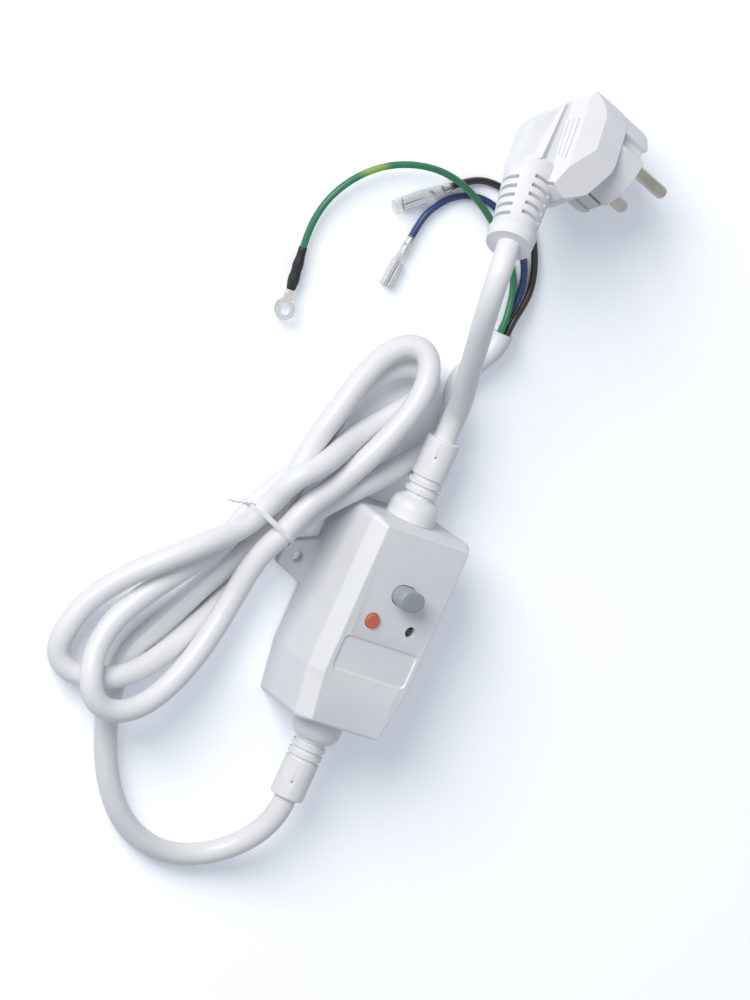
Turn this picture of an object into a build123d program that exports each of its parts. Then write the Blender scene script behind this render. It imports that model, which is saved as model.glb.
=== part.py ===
import os
from math import cos, pi, radians, sin, tan

from build123d import *

os.makedirs("parts", exist_ok=True)

# Driving dimensions, millimetres
# Housing: X is its width, Y runs to the plug's lead, Z rises out of its face
box_length = 78.0
box_width = 43.0
box_height = 34.0
tail_width = 36.4
taper_length = 19.5
wall = 2.2
corner_radius = 2.4
split_height = 17.0
side_slope = 3.6
end_slope = 1.8
slope_height = 6.5
lip_thickness = 0.9
lip_height = 1.6
seam_gap = 0.1
foot_chamfer = 0.8

ear_reach = 12.8
ear_root_width = 18.6
ear_tip_width = 8.6
ear_thickness = 3.0
ear_offset = 11.0
ear_hole_radius = 2.1
ear_hole_inset = 7.1
ear_rim = 1.3

shoulder_round = 1.1
front_round = 0.6
panel_width = 32.0
panel_length = 13.2
panel_middle = -10.5
panel_corner = 2.0
panel_depth = 0.6

# Screws that hold the two halves
screw_x = 13.5
screw_y = 32.0
boss_radius = 3.2
screw_radius = 1.4
screw_clearance = 0.2
screw_head_radius = 2.6
screw_head_height = 2.0
screw_head_depth = 3.0
screw_length = 22.0

# Circuit board and what stands on it
board_length = 54.0
board_width = 33.0
board_thickness = 1.6
board_height = 7.0
post_x = 14.0
post_y = 24.0
post_radius = 2.4
peg_radius = 1.1
peg_gap = 0.1
part_gap = 0.2
inner_wire = 2.4

# Buttons and lamp
reset_spot = (0.0, 15.2)
reset_length = 10.0
reset_width = 7.4
reset_rise = 7.0
reset_travel = 3.0
test_spot = (-8.3, 3.4)
test_radius = 2.7
test_rise = 1.2
test_travel = 1.5
button_gap = 0.2
flange_rim = 1.5
flange_thickness = 1.5
lamp_spot = (8.6, 3.4)
lamp_radius = 1.85
lamp_sink = 0.8
lamp_height = 6.0

# Contact unit under the reset button
unit_width = 18.0
unit_length = 15.0
unit_wall = 1.4
unit_height = 15.0
carrier_width = 14.0
carrier_length = 10.0
carrier_height = 4.0
stem_radius = 2.0
spring_wire = 0.5
spring_turns = 5

# Sensing coil and trip magnet
coil_inner = 3.5
coil_length = 8.0
coil_middle = -14.0
magnet_spot = (12.4, -14.0)
magnet_radius = 4.2
magnet_length = 13.0
plunger_radius = 1.5
plunger_travel = 1.5

# Strain reliefs
relief_length = 31.0
bell_radius = 9.0
bell_length = 8.2
bell_straight = 3.6
collar_radius = 6.25
groove_depth = 0.9
groove_width = 1.5
groove_pitch = 3.2
groove_count = 3
neck_radius = 4.8
collar_inside_radius = 6.4
collar_inside_length = 2.0
relief_gap = 0.1
pin_mark_radius = 0.55
pin_mark_depth = 1.2

# Leads
cord_diameter = 8.2
floor_gap = 0.1
stack_gap = 0.5
wire_diameter = 2.5
tie_thickness = 0.5
tie_width = 1.8
tie_middle = (-51.0, 22.5)
tie_across = (0.926, -0.378)

# Plug
plug_radius = 18.25
plug_back = 42.0
insert_depth = 12.0
pin_radius = 2.4
pin_length = 19.0
pin_spacing = 19.0
pin_root = 10.0
pin_root_radius = 2.1
pin_shoulder = 0.3
socket_radius = 2.5
socket_wall = 0.5
socket_depth = 11.0
socket_offset = 10.2
boot_axis_depth = 32.0
boot_start = 24.0
boot_end = 57.0
boot_root_radius = 9.6
boot_tip_radius = 7.8
boot_collar_radius = 8.6
boot_collar_length = 5.0
boot_core_radius = 4.9
slot_width = 1.5
slot_pitch = 3.8
slot_rows = 5
clip_width = 5.0
clip_thickness = 0.8
clip_recess_width = 8.0
clip_recess_depth = 1.8
guide_width = 5.0
guide_depth = 3.2

# Wire ends
shrink_radius = 2.2
shrink_length = 13.0
ring_radius = 4.0
ring_hole_radius = 2.15
ring_thickness = 0.9
ring_tilt = 50.0
blade_width = 4.4
blade_height = 2.2
blade_length = 9.0
crimp_radius = 1.6
crimp_length = 6.5
sleeve_wall = 0.4
sleeve_gap = 0.25

# Heights worked out from the sizes above
half_length = box_length / 2
shoulder_height = box_height - slope_height
roof = box_height - wall
board_top = board_height + board_thickness
screw_spots = [(x, y) for x in (-screw_x, screw_x) for y in (-screw_y, screw_y)]
post_spots = [(x, y) for x in (-post_x, post_x) for y in (-post_y, post_y)]
unit_top = board_top + unit_height
first_layer = cord_diameter / 2 + floor_gap
second_layer = first_layer + cord_diameter + stack_gap
third_layer = second_layer + cord_diameter + stack_gap


def save(piece, name):
    piece.part.label = name
    export_step(piece.part, f"parts/{name}.step")


# Housing


def outline(side_inset, end_inset):
    """The housing's plan: a box whose outlet end narrows."""
    half = box_width / 2 - side_inset
    tail = tail_width / 2 - side_inset
    end = half_length - end_inset
    bend = taper_length - half_length
    with BuildSketch() as shape:
        Polygon((-half, end), (-half, bend), (-tail, -end), (tail, -end), (half, bend), (half, end), align=None)
        fillet(shape.vertices(), max(corner_radius - side_inset, 0.8))
    return shape.sketch


def ear(side):
    """A tapering fixing tab at the foot of one side wall."""
    root = side * (box_width / 2 - wall / 2)
    tip = side * (box_width / 2 + ear_reach)
    middle = -side * ear_offset
    with BuildPart() as tab:
        with BuildSketch():
            Polygon(
                (root, middle - ear_root_width / 2),
                (tip, middle - ear_tip_width / 2),
                (tip, middle + ear_tip_width / 2),
                (root, middle + ear_root_width / 2),
                align=None,
            )
            fillet(vertices().group_by(Axis.X)[-1 if side > 0 else 0], 2.2)
        extrude(amount=ear_thickness)
        chamfer(faces().sort_by(Axis.Z)[-1].edges(), 0.4)
        hole_x = side * (box_width / 2 + ear_reach - ear_hole_inset)
        with Locations((hole_x, middle, ear_thickness)):
            Hole(ear_hole_radius)
        ring = tab.edges().filter_by(GeomType.CIRCLE).filter_by(lambda e: abs(e.radius - ear_hole_radius) < 0.01)
        chamfer(ring.group_by(Axis.Z)[-1], ear_rim / 3)
    return tab.part


def make_base():
    """The back shell: floor, walls, screw bosses, board posts, seam lip and two ears."""
    with BuildPart() as shell:
        with BuildSketch():
            add(outline(0, 0))
        extrude(amount=split_height)
        chamfer(shell.faces().sort_by(Axis.Z)[0].edges(), foot_chamfer)
        with BuildSketch(Plane.XY.offset(wall)):
            add(outline(wall, wall))
        extrude(amount=split_height - wall, mode=Mode.SUBTRACT)
        with BuildSketch(Plane.XY.offset(split_height)):
            add(outline(wall - lip_thickness, wall - lip_thickness))
            add(outline(wall, wall), mode=Mode.SUBTRACT)
        extrude(amount=lip_height)
        with BuildSketch(Plane.XY.offset(wall)):
            with Locations(*screw_spots):
                Circle(boss_radius)
        extrude(amount=split_height - wall)
        with BuildSketch(Plane.XY.offset(wall)):
            with Locations(*post_spots):
                Circle(post_radius)
        extrude(amount=board_height - wall)
        with BuildSketch(Plane.XY.offset(board_height)):
            with Locations(*post_spots):
                Circle(peg_radius)
        extrude(amount=board_thickness + 0.8)
        add(ear(-1))
        add(ear(1))
        with BuildSketch():
            with Locations(*screw_spots):
                Circle(screw_head_radius + screw_clearance)
        extrude(amount=screw_head_depth, mode=Mode.SUBTRACT)
        with BuildSketch():
            with Locations(*screw_spots):
                Circle(screw_radius + screw_clearance)
        extrude(amount=split_height, mode=Mode.SUBTRACT)
        with Locations((0, half_length, split_height), (0, -half_length, split_height)):
            Cylinder(neck_radius + relief_gap, 4 * wall, rotation=(90, 0, 0), mode=Mode.SUBTRACT)
    return shell


def cover_solid(inset, start, shoulder, top):
    """The front half's form: upright walls, then faces that lean in to the flat front."""
    with BuildPart() as form:
        with BuildSketch(Plane.XY.offset(start)):
            add(outline(inset, inset))
        extrude(amount=shoulder - start)
        with BuildSketch(Plane.XY.offset(shoulder)):
            add(outline(inset, inset))
        with BuildSketch(Plane.XY.offset(top)):
            add(outline(inset + side_slope, inset + end_slope))
        loft(ruled=True)
    return form.part


def cover_room():
    """The hollow of the front half, with the screw bosses left standing."""
    with BuildPart() as room:
        add(cover_solid(wall, split_height, shoulder_height - wall / 2, roof))
        with BuildSketch(Plane.XY.offset(split_height)):
            with Locations(*screw_spots):
                Circle(boss_radius)
        extrude(amount=box_height, mode=Mode.SUBTRACT)
    return room.part


def make_cover():
    """The front shell: sloped edges, holes for buttons and lamp, and the sunk label panel."""
    with BuildPart() as shell:
        add(cover_solid(0, split_height, shoulder_height, box_height))
        fillet(shell.edges().filter_by_position(Axis.Z, shoulder_height - 0.01, shoulder_height + 0.01), shoulder_round)
        fillet(shell.faces().sort_by(Axis.Z)[-1].edges(), front_round)
        add(cover_room(), mode=Mode.SUBTRACT)
        with BuildSketch(Plane.XY.offset(split_height)):
            recess = wall - lip_thickness - seam_gap
            add(outline(recess, recess))
            add(outline(wall + 0.5, wall + 0.5), mode=Mode.SUBTRACT)
        extrude(amount=lip_height + seam_gap, mode=Mode.SUBTRACT)
        with BuildSketch(Plane.XY.offset(box_height)):
            with Locations((0, panel_middle)):
                RectangleRounded(panel_width, panel_length, panel_corner)
        extrude(amount=-panel_depth, taper=30, mode=Mode.SUBTRACT)
        with BuildSketch(Plane.XY.offset(roof - 1)):
            with Locations(reset_spot):
                SlotOverall(reset_length + 2 * button_gap, reset_width + 2 * button_gap)
            with Locations(test_spot):
                Circle(test_radius + button_gap)
            with Locations(lamp_spot):
                Circle(lamp_radius + button_gap)
        extrude(amount=wall + 2, mode=Mode.SUBTRACT)
        with BuildSketch(Plane.XY.offset(split_height)):
            with Locations(*screw_spots):
                Circle(screw_radius + 0.05)
        extrude(amount=screw_length - split_height + screw_head_depth, mode=Mode.SUBTRACT)
        with Locations((0, half_length, split_height), (0, -half_length, split_height)):
            Cylinder(neck_radius + relief_gap, 4 * wall, rotation=(90, 0, 0), mode=Mode.SUBTRACT)
    return shell


def make_screws():
    """Four pan-head screws that enter from the back."""
    with BuildPart() as screws:
        with BuildSketch(Plane.XY.offset(screw_head_depth - screw_head_height)):
            with Locations(*screw_spots):
                Circle(screw_head_radius)
        extrude(amount=screw_head_height)
        with BuildSketch(Plane.XY.offset(screw_head_depth)):
            with Locations(*screw_spots):
                Circle(screw_radius)
        extrude(amount=screw_length - 1)
        heads = screws.faces().sort_by(Axis.Z)[0:4]
        for head in heads:
            with BuildSketch(Plane(origin=head.center(), z_dir=(0, 0, -1))):
                Rectangle(3.2, 0.7)
                Rectangle(0.7, 3.2)
            extrude(amount=-1.1, mode=Mode.SUBTRACT)
    return screws


base_shell = make_base()
save(base_shell, "base_shell")
top_cover = make_cover()
save(top_cover, "top_cover")
housing_screws = make_screws()
save(housing_screws, "housing_screws")

# Circuit board

with BuildPart() as circuit_board:
    with BuildSketch(Plane.XY.offset(board_height)):
        Rectangle(board_width, board_length)
        with Locations(*post_spots):
            Circle(peg_radius + peg_gap, mode=Mode.SUBTRACT)
    extrude(amount=board_thickness)
    chamfer(circuit_board.edges().filter_by(Axis.Z), 0.8)
save(circuit_board, "circuit_board")

block_height = split_height - inner_wire / 2 - 0.7 - board_top
with BuildPart() as board_components:
    with BuildSketch(Plane.XY.offset(board_top)):
        with Locations((-12.8, -18.5)):
            Circle(3.6)
    extrude(amount=block_height + 3.9)
    with BuildSketch(Plane.XY.offset(board_top)):
        with Locations((1.5, -25.2)):
            RectangleRounded(8, 3.4, 0.6)
        with Locations((-3.5, -4.5)):
            RectangleRounded(6, 4.5, 0.5)
    extrude(amount=block_height)
    with BuildSketch(Plane.XY.offset(board_top)):
        with Locations((0, 25)):
            Rectangle(9, 3.6)
        with Locations((14.2, 18.4), (14.2, 15.4), (14.2, 12.4)):
            Rectangle(3.2, 1.6)
    extrude(amount=1.5)
save(board_components, "board_components")

# Contact unit, buttons and lamp

with BuildPart() as contact_frame:
    with BuildSketch(Plane.XY.offset(board_top)):
        with Locations(reset_spot):
            Rectangle(unit_width, unit_length)
            Rectangle(unit_width - 2 * unit_wall, unit_length - 2 * unit_wall, mode=Mode.SUBTRACT)
    extrude(amount=unit_height - unit_wall)
    with BuildSketch(Plane.XY.offset(unit_top - unit_wall)):
        with Locations(reset_spot):
            Rectangle(unit_width, unit_length)
            Circle(stem_radius + button_gap, mode=Mode.SUBTRACT)
    extrude(amount=unit_wall)
    with BuildSketch(Plane.XZ.offset(-reset_spot[1] - unit_length)):
        with Locations((0, split_height)):
            Rectangle(6.6, 4.2)
    extrude(amount=2 * unit_length, mode=Mode.SUBTRACT)
save(contact_frame, "contact_frame")

fixed_top = board_top + 2.2
with BuildPart() as fixed_contacts:
    with BuildSketch(Plane.XY.offset(board_top)):
        with Locations((reset_spot[0] - 4.4, reset_spot[1]), (reset_spot[0] + 4.4, reset_spot[1])):
            Rectangle(4.0, 9.0)
    extrude(amount=0.8)
    with BuildSketch(Plane.XY.offset(board_top + 0.8)):
        for x in (-4.4, 4.4):
            with Locations((reset_spot[0] + x, reset_spot[1] - 2.8), (reset_spot[0] + x, reset_spot[1] + 2.8)):
                Circle(1.4)
    extrude(amount=fixed_top - board_top - 0.8)
save(fixed_contacts, "fixed_contacts")

bridge_bottom = fixed_top + reset_travel + 0.3
with BuildPart() as moving_contacts:
    with BuildSketch(Plane.XY.offset(bridge_bottom)):
        for x in (-4.4, 4.4):
            with Locations((reset_spot[0] + x, reset_spot[1] - 2.8), (reset_spot[0] + x, reset_spot[1] + 2.8)):
                Circle(1.3)
    extrude(amount=0.8)
    with BuildSketch(Plane.XY.offset(bridge_bottom + 0.8)):
        with Locations((reset_spot[0] - 4.4, reset_spot[1]), (reset_spot[0] + 4.4, reset_spot[1])):
            Rectangle(3.6, 8.8)
    extrude(amount=0.6)
save(moving_contacts, "moving_contacts")

carrier_bottom = bridge_bottom + 1.4
with BuildPart() as contact_carrier:
    with BuildSketch(Plane.XY.offset(carrier_bottom)):
        with Locations(reset_spot):
            RectangleRounded(carrier_width, carrier_length, 0.8)
    extrude(amount=carrier_height)
    with BuildSketch(Plane.XY.offset(carrier_bottom)):
        with Locations(reset_spot):
            Rectangle(1.6, carrier_length)
    extrude(amount=carrier_height / 2, mode=Mode.SUBTRACT)
save(contact_carrier, "contact_carrier")

reset_flange_top = roof - part_gap
with BuildPart() as reset_button:
    with BuildSketch(Plane.XY.offset(reset_flange_top - flange_thickness)):
        with Locations(reset_spot):
            SlotOverall(reset_length + 2 * flange_rim, reset_width + 2 * flange_rim)
    extrude(amount=flange_thickness)
    with BuildSketch(Plane.XY.offset(reset_flange_top)):
        with Locations(reset_spot):
            SlotOverall(reset_length, reset_width)
    extrude(amount=box_height + reset_rise - reset_flange_top)
    fillet(reset_button.faces().sort_by(Axis.Z)[-1].edges(), 0.9)
    with BuildSketch(Plane.XY.offset(carrier_bottom + carrier_height)):
        with Locations(reset_spot):
            Circle(stem_radius)
    extrude(amount=reset_flange_top - flange_thickness - carrier_bottom - carrier_height)
save(reset_button, "reset_button")

spring_bottom = unit_top + spring_wire / 2 + 0.1
spring_top = reset_flange_top - flange_thickness - spring_wire / 2 - 0.1
spring_radius = stem_radius + 0.9
with BuildPart() as reset_spring:
    with BuildLine(Plane.XY.offset(spring_bottom)) as coil_line:
        Helix((spring_top - spring_bottom) / spring_turns, spring_top - spring_bottom, spring_radius)
    with BuildSketch(Plane(origin=coil_line.line @ 0, z_dir=coil_line.line % 0)):
        Circle(spring_wire / 2)
    sweep(is_frenet=True)
reset_spring.part = reset_spring.part.moved(Location((reset_spot[0], reset_spot[1], 0)))
save(reset_spring, "reset_spring")

leaf_height = 15.0
stem_bottom = leaf_height + test_travel + 0.1
with BuildPart() as test_button:
    with BuildSketch(Plane.XY.offset(reset_flange_top - flange_thickness)):
        with Locations(test_spot):
            Circle(test_radius + 1.0)
    extrude(amount=flange_thickness)
    with BuildSketch(Plane.XY.offset(reset_flange_top)):
        with Locations(test_spot):
            Circle(test_radius)
    extrude(amount=box_height + test_rise - reset_flange_top)
    fillet(test_button.faces().sort_by(Axis.Z)[-1].edges(), 0.5)
    with BuildSketch(Plane.XY.offset(stem_bottom)):
        with Locations(test_spot):
            Circle(1.4)
    extrude(amount=reset_flange_top - flange_thickness - stem_bottom)
save(test_button, "test_button")

leaf_root = test_spot[1] - 10.5
with BuildPart() as test_post:
    with BuildSketch(Plane.XY.offset(board_top)):
        with Locations((test_spot[0] - 2.2, leaf_root)):
            Rectangle(3.2, 2.4)
    extrude(amount=leaf_height - 0.7 - board_top)
save(test_post, "test_post")

with BuildPart() as test_leaf:
    with BuildSketch(Plane.XY.offset(leaf_height - 0.4)):
        with Locations((test_spot[0] - 1.1, test_spot[1] - 4.6)):
            Rectangle(2.6, 13.4)
    extrude(amount=0.4)
    chamfer(test_leaf.edges().filter_by(Axis.Z), 0.5)
save(test_leaf, "test_leaf")

with BuildPart() as indicator_led:
    with BuildSketch(Plane.XY.offset(box_height - lamp_sink - lamp_height)):
        with Locations(lamp_spot):
            Circle(lamp_radius)
    extrude(amount=lamp_height)
    fillet(indicator_led.faces().sort_by(Axis.Z)[-1].edges(), 1.6)
    with BuildSketch(Plane.XY.offset(box_height - lamp_sink - lamp_height - 1)):
        with Locations(lamp_spot):
            Circle(lamp_radius + 0.4)
    extrude(amount=1)
    with BuildSketch(Plane.XY.offset(board_top)):
        with Locations((lamp_spot[0] - 1.27, lamp_spot[1]), (lamp_spot[0] + 1.27, lamp_spot[1])):
            Rectangle(0.5, 0.5)
    extrude(amount=box_height - lamp_sink - lamp_height - 1 - board_top)
save(indicator_led, "indicator_led")

# Sensing coil and trip magnet

coil_outer = split_height - board_top - 1.5 * part_gap
with BuildPart() as sensing_coil:
    with BuildSketch(Plane.XZ.offset(-coil_middle - coil_length / 2)):
        with Locations((0, split_height)):
            Circle(coil_outer)
            Circle(coil_inner, mode=Mode.SUBTRACT)
    extrude(amount=coil_length)
    fillet(sensing_coil.edges().filter_by(GeomType.CIRCLE), 1.2)
save(sensing_coil, "sensing_coil")

magnet_height = board_top + magnet_radius + part_gap
with BuildPart() as trip_coil:
    for step, radius in ((0, magnet_radius), (magnet_length / 2, magnet_radius - 0.9)):
        with BuildSketch(Plane.XZ.offset(-magnet_spot[1] - magnet_length / 2)):
            with Locations((magnet_spot[0], magnet_height)):
                Circle(magnet_radius if step == 0 else radius)
                Circle(plunger_radius + 0.3, mode=Mode.SUBTRACT)
        extrude(amount=1.2 if step == 0 else magnet_length)
    with BuildSketch(Plane.XZ.offset(-magnet_spot[1] + magnet_length / 2 - 1.2)):
        with Locations((magnet_spot[0], magnet_height)):
            Circle(magnet_radius)
            Circle(plunger_radius + 0.3, mode=Mode.SUBTRACT)
    extrude(amount=1.2)
save(trip_coil, "trip_coil")

with BuildPart() as trip_plunger:
    with BuildSketch(Plane.XZ.offset(-magnet_spot[1] - magnet_length / 2 - 8)):
        with Locations((magnet_spot[0], magnet_height)):
            Circle(plunger_radius)
    extrude(amount=magnet_length + 6)
    chamfer(trip_plunger.edges().filter_by(GeomType.CIRCLE), 0.3)
save(trip_plunger, "trip_plunger")


# Strain reliefs


def make_relief(side):
    """A moulded relief: collar inside the wall, neck, bell, grooved stem and plain collar."""
    face = half_length + relief_gap
    inner = half_length - wall - relief_gap
    grooves = face + bell_length
    with BuildPart() as relief:
        with BuildSketch(Plane.XY.offset(split_height)):
            with BuildLine():
                Polyline(
                    (0, inner - collar_inside_length),
                    (collar_inside_radius, inner - collar_inside_length),
                    (collar_inside_radius, inner),
                    (neck_radius, inner),
                    (neck_radius, face),
                    (bell_radius, face),
                    (bell_radius, face + bell_straight),
                )
                ThreePointArc(
                    (bell_radius, face + bell_straight),
                    (bell_radius - 0.8, face + bell_straight + 2.9),
                    (collar_radius, grooves),
                )
                Polyline(
                    (collar_radius, grooves),
                    (collar_radius, half_length + relief_length),
                    (0, half_length + relief_length),
                    (0, inner - collar_inside_length),
                )
            make_face()
            for number in range(groove_count):
                with Locations((collar_radius, grooves + groove_width / 2 + 0.4 + number * groove_pitch)):
                    Rectangle(2 * groove_depth, groove_width, mode=Mode.SUBTRACT)
        revolve(axis=Axis((0, 0, split_height), (0, 1, 0)))
        fillet(relief.faces().sort_by(Axis.Y)[-1].edges(), 0.6)
        for step, lean in ((9.7, -35.0), (24.4, -35.0)):
            mark = Vector(sin(radians(lean)), 0, cos(radians(lean)))
            spot = Vector(0, half_length + step, split_height) + mark * (collar_radius + 1)
            with BuildSketch(Plane(origin=spot, z_dir=-mark)):
                Circle(pin_mark_radius)
            extrude(amount=1 + pin_mark_depth, mode=Mode.SUBTRACT)
        if side < 0:
            mirror(about=Plane.XZ, mode=Mode.REPLACE)
    return relief


inlet_strain_relief = make_relief(1)
save(inlet_strain_relief, "inlet_strain_relief")
outlet_strain_relief = make_relief(-1)
save(outlet_strain_relief, "outlet_strain_relief")


# Leads


def corner_radii(points):
    """For each inner point, the largest arc that its two runs leave room for."""
    places = [Vector(*point) for point in points]
    radii = []
    for before, here, after in zip(places, places[1:], places[2:]):
        turn = (here - before).get_angle(after - here)
        shorter = min((here - before).length, (after - here).length)
        radii.append(0.45 * shorter / tan(radians(turn) / 2))
    return radii


def make_cord(points, diameter, name):
    """A round cord: straight runs joined by tangent arcs."""
    radii = corner_radii(points)
    with BuildPart() as tube:
        with BuildLine() as route:
            FilletPolyline(*points, radius=radii)
        line = Wire(route.edges())
        with BuildSketch(Plane(origin=line @ 0, z_dir=line % 0)):
            Circle(diameter / 2)
        sweep(path=line)
    share = tube.part.volume / (pi * diameter**2 / 4 * line.length)
    print(f"{name}: length {line.length:.0f}, least radius {min(radii):.1f}, volume share {share:.3f}")
    return tube, line


def least_gap(line, diameter, apart):
    """The least distance between stretches of one cord that lie further apart along it."""
    count = int(line.length / 1.5)
    places = [line @ (number / count) for number in range(count + 1)]
    skip = int(apart / 1.5)
    gaps = [
        (places[first] - places[second]).length
        for first in range(len(places))
        for second in range(first + skip, len(places))
    ]
    return min(gaps) - diameter


def seat(offset):
    """A place under the tie, counted across the bundle from its middle."""
    return (tie_middle[0] + tie_across[0] * offset, tie_middle[1] + tie_across[1] * offset)


def loop(first, last, lean, reach, spread, blunt, start, finish, heights):
    """One end loop of the hank: out from the tie, round and back, drawn in at the waist.

    reach is how far it goes out, spread how far it opens, lean its direction in degrees,
    blunt how flat its end is, and start and finish the part of the half turn that it takes.
    """
    points = []
    for number, height in enumerate(heights):
        turn = radians(start + (finish - start) * number / (len(heights) - 1))
        share = (1 - cos(turn)) / 2
        out = reach * sin(turn) ** blunt
        side = spread * sin(2 * turn)
        x = first[0] + (last[0] - first[0]) * share + out * cos(radians(lean)) - side * sin(radians(lean))
        y = first[1] + (last[1] - first[1]) * share + out * sin(radians(lean)) + side * cos(radians(lean))
        points.append((x, y, height))
    return points


def halfway(one, other):
    return tuple((a + b) / 2 for a, b in zip(one, other))


# Plug: it stands on its rim, pins level with the floor and lead end raised
plug_face = Vector(15.4, 179.9, 20.1)
pin_direction = Vector(0.951, -0.299, 0.075).normalized()
away_from_lead = Vector(0.285, 0.759, -0.586)
away_from_lead = (away_from_lead - pin_direction * away_from_lead.dot(pin_direction)).normalized()
across_pins = away_from_lead.cross(pin_direction)
face_plane = Plane(origin=plug_face, x_dir=across_pins, z_dir=pin_direction)
side_plane = Plane(origin=plug_face, x_dir=away_from_lead, z_dir=across_pins)
back_plane = Plane(origin=plug_face, x_dir=across_pins, z_dir=-away_from_lead)
boot_start_point = plug_face - pin_direction * boot_axis_depth
boot_end_point = boot_start_point - away_from_lead * boot_end
boot_axis = Axis(tuple(boot_start_point), tuple(away_from_lead))

low, high, top = first_layer, second_layer, third_layer
plug_lead_points = [
    (0, half_length + relief_length, split_height), (0, half_length + relief_length + 8, split_height),
    (-3.4, 85.6, 22.3), (-11.6, 96.3, 31.8), (-19.6, 107.3, 41.4), (-27.2, 118, 50.4), (-32.4, 129, 56),
    tuple(boot_end_point - away_from_lead * 8.5), tuple(boot_end_point),
]
outlet_points = [
    (0, -half_length - relief_length, split_height), (0, -76.5, split_height), (-2.4, -86.5, 14),
    (-7.6, -95.5, 9.4), (-16, -102.3, 5.6), (-27, -105.5, low), (-40, -104, low), (-52, -98, low), (-62, -88, low),
    (-69.5, -76, low), (-74.5, -62, low), (-76.5, -48, low), (-74.5, -34, low), (-70, -21, 5),
    (-63.5, -9, 9.5), (-60, 3, high + 0.4), (-61, 15, high + 0.6), (-60.9, 27, 8),
]
hank_points = (
    loop((-56, 25.5), (-40.5, 22), 68.3, 79, 9.8, 0.83, 16, 160,
         [low, low, low, 6, 9, 12, high + 0.4, high + 0.8, high + 1, high + 0.7, high + 0.5])
    + [(-42.4, 22.6, high + 0.9)]
    + loop(seat(7), seat(0), -112.9, 91, 13.2, 0.96, 12, 168,
           [high, 12, 6.5, 7, 13, 13.4, 9, low, low, low, low, low])
    + [(-51, 24, low + 1)]
    + loop((-50.5, 22), (-35, 33), 56.9, 76, 14.9, 0.84, 16, 150, [low] * 10)
    + [(-17.5, 51, low), (-28, 44, low), (-36, 33, low), (-43, 19.5, low + 1), (-49, 8, low)]
    + loop((-53, 27.6), (-55, 15.2), -121.7, 86, 22.3, 1.0, 32, 165,
           [5.5, 11, high + 1, 14.5, 14, 9, low, low, 8, 16.5])
)
tail_points = [
    (-61, 17.5, top + 0.8), (-54.5, 26, 20.5), (-47.5, 34, 15), (-41.2, 39.5, 12.8), (-36.1, 45.3, 9.5),
    (-31, 54, 6), (-23.5, 64, low), (-14.5, 70.6, low), (-6, 76.6, low + 0.2), (-2.9, 83.9, 10.3),
    (1.2, 88.7, 13.8), (7.1, 93.1, 13.4), (11.4, 98.2, 8.5), (12.8, 105, low + 0.3), (12.8, 111, low),
]
lead_to_hank = halfway(outlet_points[-1], hank_points[0])
hank_to_tail = halfway(hank_points[-1], tail_points[0])

plug_lead, plug_lead_line = make_cord(plug_lead_points, cord_diameter, "plug_lead")
save(plug_lead, "plug_lead")
outlet_lead, outlet_line = make_cord(outlet_points + [lead_to_hank], cord_diameter, "outlet_lead")
save(outlet_lead, "outlet_lead")
lead_hank, hank_line = make_cord([lead_to_hank] + hank_points + [hank_to_tail], cord_diameter, "lead_hank")
save(lead_hank, "lead_hank")
lead_tail, tail_line = make_cord([hank_to_tail] + tail_points, cord_diameter, "lead_tail")
save(lead_tail, "lead_tail")
print(f"least gap in the hank {least_gap(hank_line, cord_diameter, 30):.2f}")

# The twist tie round the hank's waist
tie_along = Vector(-tie_across[1], tie_across[0], 0)
tie_plane = Plane(origin=(tie_middle[0], tie_middle[1], 0), x_dir=(*tie_across, 0), z_dir=-tie_along)
with BuildSketch() as tie_inside:
    Polygon(
        (-8.9, tie_thickness + 0.05), (10.7, tie_thickness + 0.05), (13.7, 3.3), (13.7, 15.3), (12.3, 17.2),
        (-3.9, 25.7), (-6.7, 25.7), (-8.9, 24.5), (-15, 13.9), (-15, 6.4), align=None,
    )
    fillet(tie_inside.vertices(), 0.8)
with BuildPart() as cable_tie:
    with BuildSketch(tie_plane):
        add(tie_inside.sketch)
        offset(amount=tie_thickness)
        add(tie_inside.sketch, mode=Mode.SUBTRACT)
    extrude(amount=tie_width / 2, both=True)
save(cable_tie, "cable_tie")

# Inner wires of the housing
inner_end = half_length - wall - relief_gap - collar_inside_length
unit_end = reset_spot[1] + unit_length / 2
unit_start = reset_spot[1] - unit_length / 2
for name, side in (("inner_line_wires", 1), ("inner_neutral_wires", -1)):
    x = side * (inner_wire / 2 + 0.15)
    with BuildPart() as wires:
        with BuildSketch(Plane.XZ.offset(-inner_end)):
            with Locations((x, split_height)):
                Circle(inner_wire / 2)
        extrude(amount=inner_end - unit_end + 1)
        with BuildSketch(Plane.XZ.offset(-unit_start - 1)):
            with Locations((x, split_height)):
                Circle(inner_wire / 2)
        extrude(amount=unit_start + 1 + inner_end)
    save(wires, name)

earth_inside_points = [
    (-4.2, inner_end, split_height), (-4.2, 30.2, split_height), (-6.8, 26.2, 18.2), (-12, 22.2, 20.2),
    (-15.8, 14, 22), (-16.2, 0, 22.5), (-15.4, -14, 22.5), (-12, -22.2, 20.8), (-6.8, -26.2, 18.2),
    (-4.2, -30.2, split_height), (-4.2, -inner_end, split_height),
]
inner_earth_wire, inner_earth_line = make_cord(earth_inside_points, inner_wire, "inner_earth_wire")
save(inner_earth_wire, "inner_earth_wire")

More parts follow.
